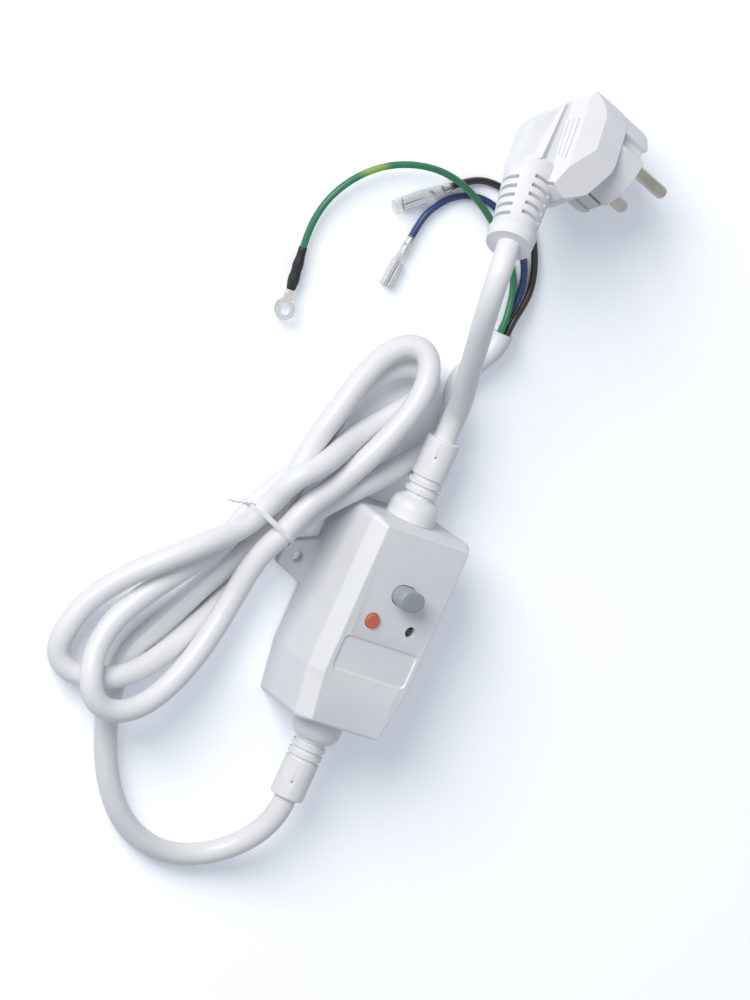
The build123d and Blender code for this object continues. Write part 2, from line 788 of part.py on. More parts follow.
# Loose wire ends past the cut sheath
wire_floor = wire_diameter / 2 + floor_gap
shrink_height = 3.9
sleeve_height = crimp_radius + sleeve_gap + sleeve_wall + floor_gap + 0.1
earth_points = [
    (11.37, 111, 5.03), (11.37, 115, 5.03), (11.8, 121, 3), (10.9, 127.4, 1.6), (7.9, 132.6, wire_floor),
    (3.2, 137.7, wire_floor), (-2.6, 142.2, 1.8), (-10.7, 147.3, 3.6), (-20.8, 152.4, 6.2), (-30.3, 156, 7.8),
    (-39.3, 157.7, 8), (-48, 157.3, 7.8), (-56.3, 155.1, 7.2), (-63.7, 151.3, 6.4), (-70.1, 145.5, 5.6),
    (-74.9, 138.5, 4.8), (-77.7, 130.8, 4.2), (-78.6, 121.5, shrink_height), (-77.4, 113.2, shrink_height),
]
neutral_points = [
    (12.8, 111, 2.55), (12.8, 115, 2.55), (14.6, 121, 1.5), (14.8, 127.6, wire_floor), (12, 135.6, wire_floor),
    (6, 142.8, wire_floor), (-2.2, 148.9, wire_floor), (-11.8, 152.8, wire_floor), (-21, 153, wire_floor),
    (-28.6, 149.6, 1.6), (-33.6, 144.6, 2.1), (-37, 139.1, sleeve_height), (-37.8, 130.6, sleeve_height),
]
line_points = [
    (14.23, 111, 5.03), (14.23, 116, 5.03), (17, 122, 2.9), (18.3, 129, 1.5), (15.4, 138, wire_floor),
    (10.3, 146.2, wire_floor), (4.2, 152.4, wire_floor), (-3, 157, wire_floor), (-10.8, 159.3, wire_floor),
    (-18.8, 159.4, wire_floor), (-26, 157, sleeve_height), (-32.3, 152.2, sleeve_height),
]
earth_wire, earth_line = make_cord(earth_points, wire_diameter, "earth_wire")
save(earth_wire, "earth_wire")
neutral_wire, neutral_line = make_cord(neutral_points, wire_diameter, "neutral_wire")
save(neutral_wire, "neutral_wire")
line_wire, line_line = make_cord(line_points, wire_diameter, "line_wire")
save(line_wire, "line_wire")


def end_plane(line):
    """The plane at a wire's end that looks along it, with X level."""
    direction = line % 1
    level = Vector(direction.Y, -direction.X, 0)
    return Plane(origin=line @ 1, x_dir=level, z_dir=direction)


shrink_plane = end_plane(earth_line)
with BuildPart() as heat_shrink:
    with BuildSketch(shrink_plane):
        Circle(shrink_radius - 0.5)
    with BuildSketch(shrink_plane.offset(3)):
        Circle(shrink_radius)
    loft()
    with BuildSketch(shrink_plane.offset(3)):
        Circle(shrink_radius)
    extrude(amount=shrink_length - 3)
save(heat_shrink, "heat_shrink")

ring_start = shrink_plane.offset(shrink_length + 0.1)
ring_middle = ring_radius + 3.2
ring_normal = ring_start.x_dir * sin(radians(ring_tilt)) + Vector(0, 0, cos(radians(ring_tilt)))
ring_plane = Plane(ring_start.origin, x_dir=ring_start.z_dir, z_dir=ring_normal).offset(-ring_thickness / 2)
with BuildPart() as ring_terminal:
    with BuildSketch(ring_plane):
        with Locations((ring_middle, 0)):
            Circle(ring_radius)
        with Locations((ring_middle / 2, 0)):
            Rectangle(ring_middle, 3.6)
        with Locations((ring_middle, 0)):
            Circle(ring_hole_radius, mode=Mode.SUBTRACT)
    extrude(amount=ring_thickness)
    with BuildSketch(ring_start):
        Circle(1.7)
    extrude(amount=1.6)
save(ring_terminal, "ring_terminal")


def make_terminal(plane):
    """A crimped push-on terminal: barrel, neck and a socket with curled edges."""
    start = crimp_length + 2.2
    with BuildPart() as terminal:
        with BuildSketch(plane):
            Circle(crimp_radius)
        extrude(amount=crimp_length)
        with BuildSketch(plane.offset(crimp_length)):
            Rectangle(3.0, 1.2)
        extrude(amount=2.2)
        with BuildSketch(plane.offset(start)):
            RectangleRounded(blade_width, blade_height, 0.9)
            Rectangle(blade_width - 0.9, 0.9, mode=Mode.SUBTRACT)
            with Locations((0, blade_height / 2)):
                Rectangle(2.2, 1.6, mode=Mode.SUBTRACT)
        extrude(amount=blade_length)
        with BuildSketch(plane.offset(start)):
            Rectangle(3.0, blade_height - 0.2)
        extrude(amount=0.8)
    return terminal


def make_sleeve(plane, length):
    """A clear push-over sleeve, open at both ends."""
    inside_width = blade_width + 2 * sleeve_gap
    inside_height = 2 * crimp_radius + 2 * sleeve_gap
    with BuildPart() as sleeve:
        with BuildSketch(plane.offset(-1.5)):
            RectangleRounded(inside_width + 2 * sleeve_wall, inside_height + 2 * sleeve_wall, 1.4)
            RectangleRounded(inside_width, inside_height, 1.0, mode=Mode.SUBTRACT)
        extrude(amount=length)
    return sleeve


neutral_plane = end_plane(neutral_line)
neutral_terminal = make_terminal(neutral_plane)
save(neutral_terminal, "neutral_terminal")
neutral_sleeve = make_sleeve(neutral_plane, 20)
save(neutral_sleeve, "neutral_sleeve")
line_plane = end_plane(line_line)
line_terminal = make_terminal(line_plane)
save(line_terminal, "line_terminal")
line_sleeve = make_sleeve(line_plane, 23)
save(line_sleeve, "line_sleeve")

with BuildPart() as plug_body:
    with BuildSketch(side_plane) as side_form:
        Polygon(
            (plug_radius, -insert_depth), (plug_radius, -18), (13, -25), (3, -33), (-9, -plug_back + 1.6),
            (-27, -plug_back), (-32, -plug_back + 3), (-33, -23), (-27, -16), (-16, -insert_depth), align=None,
        )
        fillet(side_form.vertices().filter_by(lambda v: v.Y < -insert_depth - 1), 1.6)
    extrude(amount=plug_radius, both=True)
    with BuildSketch(face_plane.offset(-plug_back - 1)) as front_form:
        Circle(plug_radius)
        Polygon(
            (-plug_radius, 0), (plug_radius, 0), (plug_radius, -13), (10.5, -33), (-10.5, -33),
            (-plug_radius, -13), align=None,
        )
    extrude(amount=plug_back, mode=Mode.INTERSECT)
    with BuildSketch(back_plane):
        Polygon(
            (-plug_radius, -insert_depth), (plug_radius, -insert_depth), (plug_radius, -22), (14, -28),
            (8.8, -31), (8.0, -34), (3.5, -plug_back), (-3.5, -plug_back), (-8.0, -34), (-8.8, -31), (-14, -28),
            (-plug_radius, -22), align=None,
        )
    extrude(amount=2 * plug_radius, both=True, mode=Mode.INTERSECT)
    with BuildSketch(side_plane):
        with BuildLine():
            Polyline(
                (-boot_start, -boot_axis_depth), (-boot_start, boot_root_radius - boot_axis_depth),
                (-boot_end + boot_collar_length + 1.5, boot_tip_radius - boot_axis_depth),
                (-boot_end + boot_collar_length, boot_collar_radius - boot_axis_depth),
                (-boot_end, boot_collar_radius - 0.5 - boot_axis_depth), (-boot_end, -boot_axis_depth),
                (-boot_start, -boot_axis_depth),
            )
        make_face()
    revolve(axis=boot_axis)
    rows = [-boot_end + boot_collar_length + 5.2 + number * slot_pitch for number in range(slot_rows)]
    for side in (-1, 1):
        with BuildSketch(side_plane.offset(side * boot_core_radius)):
            with Locations(*[(row, -boot_axis_depth) for row in rows]):
                Rectangle(slot_width, 8.4)
        extrude(amount=side * 6, mode=Mode.SUBTRACT)
        with BuildSketch(face_plane.offset(-boot_axis_depth + side * boot_core_radius)):
            with Locations(*[(0, row - slot_pitch / 2) for row in rows]):
                Rectangle(8.4, slot_width)
        extrude(amount=side * 6, mode=Mode.SUBTRACT)
save(plug_body, "plug_body")

with BuildPart() as plug_insert:
    with BuildSketch(face_plane.offset(-insert_depth)):
        Circle(plug_radius - 0.3)
        with Locations((plug_radius, 0), (-plug_radius, 0)):
            Rectangle(2 * guide_depth, guide_width, mode=Mode.SUBTRACT)
        with Locations((0, plug_radius), (0, -plug_radius)):
            Rectangle(clip_recess_width, 2 * clip_recess_depth, mode=Mode.SUBTRACT)
    extrude(amount=insert_depth)
    with BuildSketch(face_plane):
        with Locations((pin_spacing / 2, 0), (-pin_spacing / 2, 0)):
            Circle(pin_root_radius + 0.02)
    extrude(amount=-pin_root - 0.1, mode=Mode.SUBTRACT)
    with BuildSketch(face_plane):
        with Locations((0, socket_offset)):
            Circle(socket_radius + socket_wall + 0.05)
    extrude(amount=-socket_depth - 0.5, mode=Mode.SUBTRACT)
save(plug_insert, "plug_insert")


def make_pin(x, name):
    """A round contact pin with a rounded tip, rooted in the insert."""
    with BuildPart() as pin:
        with BuildSketch(face_plane.offset(-pin_root)):
            with Locations((x, 0)):
                Circle(pin_root_radius)
        extrude(amount=pin_root + pin_shoulder)
        with BuildSketch(face_plane.offset(pin_shoulder)):
            with Locations((x, 0)):
                Circle(pin_radius)
        extrude(amount=pin_length - pin_shoulder)
        fillet(pin.edges().sort_by(Axis(tuple(plug_face), tuple(pin_direction)))[-1], 1.6)
    save(pin, name)


make_pin(-pin_spacing / 2, "line_pin")
make_pin(pin_spacing / 2, "neutral_pin")

with BuildPart() as earth_clips:
    for side in (-1, 1):
        with BuildSketch(face_plane.offset(-insert_depth + 0.3)):
            with Locations((0, side * (plug_radius - clip_recess_depth + clip_thickness / 2 + 0.05))):
                Rectangle(clip_width, clip_thickness)
        extrude(amount=insert_depth - 1.5)
save(earth_clips, "earth_clips")

with BuildPart() as earth_socket:
    with BuildSketch(face_plane.offset(-socket_depth)):
        with Locations((0, socket_offset)):
            Circle(socket_radius + socket_wall)
            Circle(socket_radius, mode=Mode.SUBTRACT)
    extrude(amount=socket_depth - 0.2)
save(earth_socket, "earth_socket")
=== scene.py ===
# %% [markdown]
# The object is a residual current box with a short lead to an angled plug, and a long lead that is
# tied in a hank and ends in three wires with terminals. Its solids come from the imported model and
# stay where they are. They have the true sizes, but their edges are knife-sharp, their surfaces have
# no finish, and their leads are chains of straight runs and arcs. This lesson rounds the edges, makes
# the plastics and metals, and lays the leads again as smooth curves.

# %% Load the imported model
from math import cos, pi, radians, sin

import bmesh
import bpy
from mathutils import Matrix, Vector
from mathutils.geometry import convex_hull_2d


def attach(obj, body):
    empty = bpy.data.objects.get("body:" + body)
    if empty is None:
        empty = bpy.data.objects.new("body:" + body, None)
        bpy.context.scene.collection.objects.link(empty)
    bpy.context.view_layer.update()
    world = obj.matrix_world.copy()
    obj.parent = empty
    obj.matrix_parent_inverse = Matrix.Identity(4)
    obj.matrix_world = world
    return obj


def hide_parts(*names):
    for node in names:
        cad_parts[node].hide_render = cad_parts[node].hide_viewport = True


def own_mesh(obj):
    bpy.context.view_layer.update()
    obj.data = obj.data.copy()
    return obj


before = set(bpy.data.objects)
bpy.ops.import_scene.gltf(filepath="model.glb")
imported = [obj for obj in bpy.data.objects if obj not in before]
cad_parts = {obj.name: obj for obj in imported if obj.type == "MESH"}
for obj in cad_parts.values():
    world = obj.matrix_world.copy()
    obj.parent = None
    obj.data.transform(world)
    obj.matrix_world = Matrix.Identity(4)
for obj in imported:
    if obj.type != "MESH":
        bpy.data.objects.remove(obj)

MM = 0.001
UP = Vector((0, 0, 1))
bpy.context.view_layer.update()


# %% [markdown]
# The photograph was taken with a long lens, so edges that are parallel on the box stay nearly
# parallel in the picture. A camera could be aimed at the object by a constraint, but a picture is
# matched best by the camera's own matrix. Its columns are the directions to the picture's right, to
# its top and back to the lens, and all three were found from the corners of the box.

# %% Camera
SENSOR = 36.0
FOCAL = 288.0
SEES_AS_FAR_AS = 20.0
TO_RIGHT = Vector((0.7936, 0.4014, 0.4573))
TO_TOP = Vector((-0.2678, 0.9053, -0.3298))
CAMERA_PLACE = Vector((-1.1710, 0.3358, 1.7622))


def join_collection(thing):
    bpy.context.scene.collection.objects.link(thing)
    return thing


def make_camera():
    lens = bpy.data.cameras.new("camera")
    lens.sensor_fit = "HORIZONTAL"
    lens.sensor_width = SENSOR
    lens.lens = FOCAL
    lens.clip_end = SEES_AS_FAR_AS
    camera = join_collection(bpy.data.objects.new("camera", lens))
    turn = Matrix((TO_RIGHT, TO_TOP, TO_RIGHT.cross(TO_TOP))).transposed().to_4x4()
    camera.matrix_world = Matrix.Translation(CAMERA_PLACE) @ turn
    bpy.context.scene.camera = camera
    print("camera", round(CAMERA_PLACE.length, 2), "m away")


make_camera()
bpy.context.scene.view_settings.view_transform = "Standard"

# %% [markdown]
# Most of the long lead is wound into a hank: a bundle with loops at both ends and a tie round its
# waist. Each end loop could be placed point by point, but four loops of a dozen points or more are
# easier to steer with a formula. A turn drives it, a little less than half a circle. Its cosine
# carries the point from first to last, its sine carries it out along the heading and in again, and
# the sine of twice the turn holds the two strands apart. Only the heights are a list, because they
# say which strand passes over which. CORD and WIRE are the widths of the lead and of a wire, and LOW
# and FLAT are the heights of their middles where they lie on the table.

# %% Loops of the hank, in millimetres
CORD = 8.2
WIRE = 2.5
LIFT = 0.1
LOW = CORD / 2 + LIFT
FLAT = WIRE / 2 + LIFT


def loop(first, last, heading, reach, spread, power, start, finish, heights):
    """One end loop of the hank, out from first, round and back to last."""
    points = []
    along = Vector((cos(radians(heading)), sin(radians(heading))))
    across = Vector((-along.y, along.x))
    for number, height in enumerate(heights):
        turn = radians(start + (finish - start) * number / (len(heights) - 1))
        middle = Vector(first).lerp(Vector(last), (1 - cos(turn)) / 2)
        spot = middle + along * reach * abs(sin(turn)) ** power + across * spread * sin(2 * turn)
        points.append((spot.x, spot.y, height))
    return points


wide_upper_loop = loop(
    first=(-46.4, 29.2), last=(-47.6, 30.3), heading=68.6, reach=72.7, spread=11, power=1.5,
    start=10.9, finish=173,
    heights=[13.4, 11.9, 13.2, 10.6, 8.6, 9.7, 13, 16, 18.3, 18, 18.2, 18.7, 20.5],
)
right_lower_loop = loop(
    first=(-52.4, 13.7), last=(-50.4, 14.6), heading=-118.2, reach=81.2, spread=16.8, power=1.25,
    start=5, finish=168.6,
    heights=[16.3, 13.9, 15.3, 16.9, 18.5, 19.5, 19.3, 19, 17.9, 14, 11.9, 13.1, 12.2, 8.6],
)
inner_upper_loop = loop(
    first=(7.8, 47.9), last=(-36.4, 55.4), heading=131.7, reach=30, spread=36.6, power=2.91,
    start=60.8, finish=200.9,
    heights=[LOW, 6.3, 5.8, LOW, LOW, 6.1, 10, 10.2, 8.8, 11.7, 21.1, 21.4],
)
left_lower_loop = loop(
    first=(-51.6, 17.5), last=(-47, 10.2), heading=-130, reach=83, spread=-15.3, power=1.67,
    start=12.7, finish=168.1,
    heights=[14.6, 18.5, 17.2, 11.3, 7.1, 6.7, 5.2, 6.9, 10.3, 13.7, 11.2, 6.7, 4.3, LOW],
)
all_loops = (wide_upper_loop, right_lower_loop, inner_upper_loop, left_lower_loop)
print("loops with", [len(points) for points in all_loops], "points")


# %% [markdown]
# Outside the hank a lead lies in loose bends, and a few listed points are enough, with more
# of them where a bend is tighter.
# The long lead's points lie up to about a centimetre beside the solid one, wherever the photograph
# shows a strand there. Between two loops, one point seats the strand in the tie.

# %% Routes of the leads, in millimetres
from_box = [
    (0, -70, 17), (0, -76.5, 17), (-2.4, -86.5, 14), (-7.6, -95.5, 9.4), (-16, -102.3, 5.6),
    (-27, -105.5, LOW), (-40, -104, LOW), (-52, -98, LOW), (-62, -88, LOW), (-69.5, -76, LOW),
    (-74.7, -63.6, LOW), (-77.5, -51.5, LOW), (-76.6, -39.8, LOW), (-70.7, -28.8, 4.4),
    (-64.4, -16.7, 4.6), (-58.1, -4.2, 5.5), (-51.7, 8.3, 7.2),
]
to_cut_end = [
    (-33.4, 28.4, 8.5), (-29.4, 36.6, 12.9), (-24.8, 42.6, 15.4), (-18.4, 47.6, 14.1), (-11, 52.3, 10.6),
    (-3.2, 57, 7.4), (3.3, 62.9, 5.8), (6.4, 70.7, 5.6), (5.7, 79.3, 5.7), (3.1, 88.6, LOW),
    (7.2, 97.5, LOW), (12.8, 105.5, LOW), (12.8, 111, LOW),
]
lead_route = (
    from_box + [(-46.8, 21.1, 10.8)] + wide_upper_loop + [(-47.2, 20.9, 19.3)] + right_lower_loop
    + [(-53.2, 26.3, LOW)] + inner_upper_loop + [(-55.2, 27.5, 15.5)] + left_lower_loop
    + [(-39.3, 16.2, 4.9)] + to_cut_end
)
plug_lead_route = [
    (0, 70, 17), (0, 78, 17), (-3.4, 85.6, 22.3), (-11.6, 96.3, 31.8), (-19.6, 107.3, 41.4),
    (-27.2, 118, 50.4), (-32.4, 129, 56), (-33.7, 139.8, 56.1), (-31.3, 146.2, 51.1),
]
earth_route = [
    (11.37, 111, 5.03), (11.37, 115, 5.03), (11.8, 121, 3), (10.9, 127.4, 1.6), (7.9, 132.6, FLAT),
    (3.2, 137.7, FLAT), (-2.6, 142.2, 1.8), (-10.7, 147.3, 3.6), (-20.8, 152.4, 6.2), (-30.3, 156, 7.8),
    (-39.3, 157.7, 8), (-48, 157.3, 7.8), (-56.3, 155.1, 7.2), (-63.7, 151.3, 6.4), (-70.1, 145.5, 5.6),
    (-74.9, 138.5, 4.8), (-77.7, 130.8, 4.2), (-78.6, 121.5, 3.9), (-77.4, 113.2, 3.9),
]
neutral_route = [
    (12.8, 111, 2.55), (12.8, 115, 2.55), (14.6, 121, 1.5), (14.8, 127.6, FLAT), (12, 135.6, FLAT),
    (6, 142.8, FLAT), (-2.2, 148.9, FLAT), (-11.8, 152.8, FLAT), (-21, 153, FLAT), (-28.6, 149.6, 1.6),
    (-33.6, 144.6, 2.1), (-37, 139.1, 2.45), (-37.8, 130.6, 2.45),
]
line_route = [
    (14.23, 111, 5.03), (14.23, 116, 5.03), (17, 122, 2.9), (18.3, 129, 1.5), (15.4, 138, FLAT),
    (10.3, 146.2, FLAT), (4.2, 152.4, FLAT), (-3, 157, FLAT), (-10.8, 159.3, FLAT), (-18.8, 159.4, FLAT),
    (-26, 157, 2.45), (-32.3, 152.2, 2.45),
]
print("long lead", len(lead_route), "points, plug's lead", len(plug_lead_route), "points")


# %% [markdown]
# A lead is a flexible cylinder that bends gently everywhere and has no corners. A swept mesh would
# need its own frame at every step. A curve with a round bevel keeps its section by itself, and a
# NURBS spline of order 3 runs smoothly near its points without going through them. The order is set
# after the points are added, because before that it can't be more than the number of points.

# %% Curves along the routes
STEPS_ALONG = 10
STEPS_AROUND = 7


def smooth_cord(name, points, diameter):
    """A round cord along one smooth spline; the points are in millimetres."""
    curve = bpy.data.curves.new(name, "CURVE")
    curve.dimensions = "3D"
    curve.bevel_depth = diameter * MM / 2
    curve.bevel_resolution = STEPS_AROUND
    curve.use_fill_caps = True
    curve.resolution_u = STEPS_ALONG
    curve.render_resolution_u = STEPS_ALONG
    spline = curve.splines.new("NURBS")
    spline.points.add(len(points) - 1)
    for knot, point in zip(spline.points, points):
        knot.co = (point[0] * MM, point[1] * MM, point[2] * MM, 1)
    spline.order_u = 3
    spline.use_endpoint_u = True
    return join_collection(bpy.data.objects.new(name, curve))


def centre_line(cord_object):
    """The places along a cord's smooth line, read from the curve without its round section."""
    bare = cord_object.data.copy()
    bare.bevel_depth = 0
    carrier = bpy.data.objects.new("line", bare)
    mesh = bpy.data.meshes.new_from_object(carrier)
    places = [vertex.co.copy() for vertex in mesh.vertices]
    bpy.data.objects.remove(carrier)
    bpy.data.meshes.remove(mesh)
    bpy.data.curves.remove(bare)
    return places


outlet_cord = smooth_cord("outlet_cord", lead_route, CORD)
plug_cord = smooth_cord("plug_cord", plug_lead_route, CORD)
earth_cord = smooth_cord("earth_cord", earth_route, WIRE)
neutral_cord = smooth_cord("neutral_cord", neutral_route, WIRE)
line_cord = smooth_cord("line_cord", line_route, WIRE)
print("the long lead's curve has", len(centre_line(outlet_cord)), "places along it")

# %% [markdown]
# A material is a small network of nodes, and the same few come up in every one here: noise, a map
# onto a range, a mix of two colours, and bump. They could be wired by hand each time, but as
# functions they are written once, and a material then reads like a short list. All noise reads the
# object's own coordinates, which are metres here, so a scale of 1000 gives grains of about a
# millimetre. A Mix node has several sockets of the same name, so those for colours go by number.

# %% Noise, ranges, colours and bump
CLOUDS = 70
PATCHES = 260
MIX_SHARE, MIX_ONE, MIX_OTHER, MIX_COLOUR = 0, 6, 7, 2


def empty_material(name):
    material = bpy.data.materials.new(name)
    material.use_nodes = True
    return material, material.node_tree


def own_place(tree):
    """The object's own coordinates, which a finished piece has in metres."""
    return tree.nodes.new("ShaderNodeTexCoord").outputs["Object"]


def noise_node(tree, where, scale, detail=3.0):
    noise = tree.nodes.new("ShaderNodeTexNoise")
    noise.inputs["Scale"].default_value = scale
    noise.inputs["Detail"].default_value = detail
    tree.links.new(where, noise.inputs["Vector"])
    return noise.outputs["Fac"]


def onto_range(tree, value, low, high, start=0.3, end=0.7):
    """Maps a value between start and end onto the range from low to high."""
    mapped = tree.nodes.new("ShaderNodeMapRange")
    mapped.inputs["From Min"].default_value = start
    mapped.inputs["From Max"].default_value = end
    mapped.inputs["To Min"].default_value = low
    mapped.inputs["To Max"].default_value = high
    tree.links.new(value, mapped.inputs["Value"])
    return mapped.outputs["Result"]


def two_colours(tree, value, one, other):
    """One colour where the value is 0, the other where it is 1."""
    mix = tree.nodes.new("ShaderNodeMix")
    mix.data_type = "RGBA"
    mix.inputs[MIX_ONE].default_value = (*one, 1)
    mix.inputs[MIX_OTHER].default_value = (*other, 1)
    tree.links.new(value, mix.inputs[MIX_SHARE])
    return mix.outputs[MIX_COLOUR]


def add_bump(tree, value, strength, depth):
    bump = tree.nodes.new("ShaderNodeBump")
    bump.inputs["Strength"].default_value = strength
    bump.inputs["Distance"].default_value = depth
    tree.links.new(value, bump.inputs["Height"])
    tree.links.new(bump.outputs["Normal"], tree.nodes["Principled BSDF"].inputs["Normal"])


print("clouds", round(1 / CLOUDS / MM), "mm across, patches", round(1 / PATCHES / MM), "mm")

# %% [markdown]
# Moulded plastic is never one flat colour. Its gloss varies a little, its white has faint clouds, and
# a fine grain from the mould catches the light. An image could hold all that, but noise has no seams
# and stays sharp close up. One function makes every moulded finish: slow noise for the colour,
# quicker noise for the gloss, and fine noise for the relief.

# %% Moulded plastic of the box
GRAIN_STRENGTH = 0.35
COAT_ROUGHNESS = 0.2


def add_grain(tree, where, gloss, grain, depth):
    """Patches of roughness between the two gloss values, and a fine grain in relief."""
    patches = noise_node(tree, where, PATCHES, 4)
    roughness = onto_range(tree, patches, *gloss)
    tree.links.new(roughness, tree.nodes["Principled BSDF"].inputs["Roughness"])
    add_bump(tree, noise_node(tree, where, grain, 2), GRAIN_STRENGTH, depth)


def moulded(name, one, other, gloss, grain=1500, depth=0.00002, shine=0.0):
    """Two near colours in soft clouds, patchy gloss, a fine grain and a clear coat of that shine."""
    material, tree = empty_material(name)
    where = own_place(tree)
    finish = tree.nodes["Principled BSDF"]
    clouds = onto_range(tree, noise_node(tree, where, CLOUDS), 0, 1)
    tree.links.new(two_colours(tree, clouds, one, other), finish.inputs["Base Color"])
    add_grain(tree, where, gloss, grain, depth)
    finish.inputs["Coat Weight"].default_value = shine
    finish.inputs["Coat Roughness"].default_value = COAT_ROUGHNESS
    return material


box_plastic = moulded("box_plastic", (0.80, 0.815, 0.84), (0.83, 0.84, 0.86), (0.36, 0.46), 2200)
print(box_plastic.name, len(box_plastic.node_tree.nodes), "nodes")


# %% [markdown]
# The other plastics differ in a few facts only. The plug's rubbery plastic and the leads' soft sheath
# are as white as the box, with a coarser grain. The buttons are smooth and have a little clear shine
# over a deeper colour, the lamp is nearly black, and the wires' skins are dark and even. So each is
# one call with its two colours, its range of roughness, the scale of its grain and the grain's depth.

# %% The other plastics
plug_plastic = moulded("plug_plastic", (0.80, 0.81, 0.835), (0.83, 0.84, 0.86), (0.38, 0.5), 1800)
sheath_plastic = moulded(
    "sheath_plastic", (0.80, 0.81, 0.83), (0.83, 0.84, 0.855), (0.34, 0.44), 900, depth=0.00003,
)
tie_plastic = moulded("tie_plastic", (0.82, 0.83, 0.85), (0.86, 0.87, 0.88), (0.4, 0.5), 2500)
reset_plastic = moulded(
    "reset_plastic", (0.30, 0.33, 0.36), (0.35, 0.38, 0.41), (0.25, 0.34), 2500, depth=0.00001, shine=0.3,
)
test_plastic = moulded(
    "test_plastic", (0.62, 0.13, 0.07), (0.68, 0.16, 0.09), (0.3, 0.4), 2500, depth=0.00001, shine=0.2,
)
lamp_plastic = moulded(
    "lamp_plastic", (0.012, 0.012, 0.014), (0.02, 0.02, 0.022), (0.12, 0.2), 2500,
    depth=0.000005, shine=0.5,
)
unit_plastic = moulded("unit_plastic", (0.05, 0.05, 0.055), (0.07, 0.07, 0.075), (0.4, 0.55))
coil_lacquer = moulded("coil_lacquer", (0.09, 0.1, 0.16), (0.13, 0.14, 0.2), (0.3, 0.5), 1200)
board_resin = moulded("board_resin", (0.04, 0.2, 0.09), (0.06, 0.25, 0.12), (0.25, 0.4), 3000)
brown_skin = moulded("brown_skin", (0.020, 0.014, 0.013), (0.034, 0.023, 0.02), (0.3, 0.42), 1400)
blue_skin = moulded("blue_skin", (0.018, 0.045, 0.15), (0.03, 0.065, 0.2), (0.3, 0.42), 1400)
shrunk_black = moulded(
    "shrunk_black", (0.006, 0.006, 0.007), (0.012, 0.012, 0.013), (0.38, 0.55), 1100, depth=0.00006,
)
print("a dozen more plastics, from", plug_plastic.name, "to", shrunk_black.name)


# %% [markdown]
# Metal shows how it was made in fine lines: pins are turned and plated, and terminals are pressed
# from tinned strip. The Anisotropic setting gives one stretched highlight but no lines. Noise that is
# squeezed along one axis by a Mapping node draws them, and drives both the gloss and a faint relief.

# %% Metals
LINES = 500
WORN_PATCHES = 60
SQUEEZE = (1, 1, 12)
LINE_STRENGTH = 0.12
LINE_DEPTH = 0.000005


def drawn_metal(name, colour, worn, gloss):
    """Metal with fine lines across the squeezed axis and slightly darker worn patches."""
    material, tree = empty_material(name)
    finish = tree.nodes["Principled BSDF"]
    finish.inputs["Metallic"].default_value = 1.0
    mapping = tree.nodes.new("ShaderNodeMapping")
    mapping.inputs["Scale"].default_value = SQUEEZE
    tree.links.new(own_place(tree), mapping.inputs["Vector"])
    where = mapping.outputs["Vector"]
    lines = noise_node(tree, where, LINES, 4)
    patches = onto_range(tree, noise_node(tree, where, WORN_PATCHES), 0, 1)
    tree.links.new(two_colours(tree, patches, colour, worn), finish.inputs["Base Color"])
    tree.links.new(onto_range(tree, lines, *gloss), finish.inputs["Roughness"])
    add_bump(tree, lines, LINE_STRENGTH, LINE_DEPTH)
    return material


pin_metal = drawn_metal("pin_metal", (0.47, 0.45, 0.42), (0.34, 0.32, 0.30), (0.12, 0.26))
tinned_metal = drawn_metal("tinned_metal", (0.80, 0.80, 0.80), (0.66, 0.66, 0.67), (0.18, 0.34))
screw_metal = drawn_metal("screw_metal", (0.6, 0.6, 0.61), (0.5, 0.5, 0.5), (0.25, 0.4))
brass_metal = drawn_metal("brass_metal", (0.72, 0.52, 0.24), (0.6, 0.42, 0.2), (0.2, 0.36))
print("metals", [metal.name for metal in (pin_metal, tinned_metal, screw_metal, brass_metal)])


# %% [markdown]
# The earth wire is green with a yellow stripe along each side. The stripe has to follow the wire
# round its bends, which the object's coordinates can't do. A curve with a round section carries its
# own UV map, with one coordinate along the wire and one around it, so folding the coordinate around
# into a ripple and keeping only its crests draws the stripes.

# %% Striped earth wire
RIPPLE = 0.25
STRIPE_EDGES = (0.205, 0.232)


def striped_skin():
    material, tree = empty_material("striped_skin")
    coordinates = tree.nodes.new("ShaderNodeTexCoord")
    split = tree.nodes.new("ShaderNodeSeparateXYZ")
    tree.links.new(coordinates.outputs["UV"], split.inputs["Vector"])
    ripple = tree.nodes.new("ShaderNodeMath")
    ripple.operation = "PINGPONG"
    ripple.inputs[1].default_value = RIPPLE
    tree.links.new(split.outputs["X"], ripple.inputs[0])
    stripe = onto_range(tree, ripple.outputs["Value"], 0, 1, *STRIPE_EDGES)
    tone = two_colours(tree, stripe, (0.028, 0.20, 0.095), (0.26, 0.42, 0.10))
    tree.links.new(tone, tree.nodes["Principled BSDF"].inputs["Base Color"])
    add_grain(tree, coordinates.outputs["Object"], (0.3, 0.42), 1400, 0.00002)
    return material


earth_skin = striped_skin()
print(earth_skin.name, len(earth_skin.node_tree.nodes), "nodes")


# %% [markdown]
# The sleeves over the push-on terminals are a thin clear film. Full transmission bends light through
# both walls, and turns such a small piece dark at its ends. Here most light should go straight
# through and leave a pale haze and sharp glints, so a low alpha with smears in the gloss is enough.

# %% Clear film
FILM_ALPHA = 0.16
FILM_GLINT = 0.9
SMEARS = 300
SMEAR_GLOSS = (0.05, 0.2)
WRINKLES = 420
WRINKLE_STRENGTH = 0.3
WRINKLE_DEPTH = 0.00003


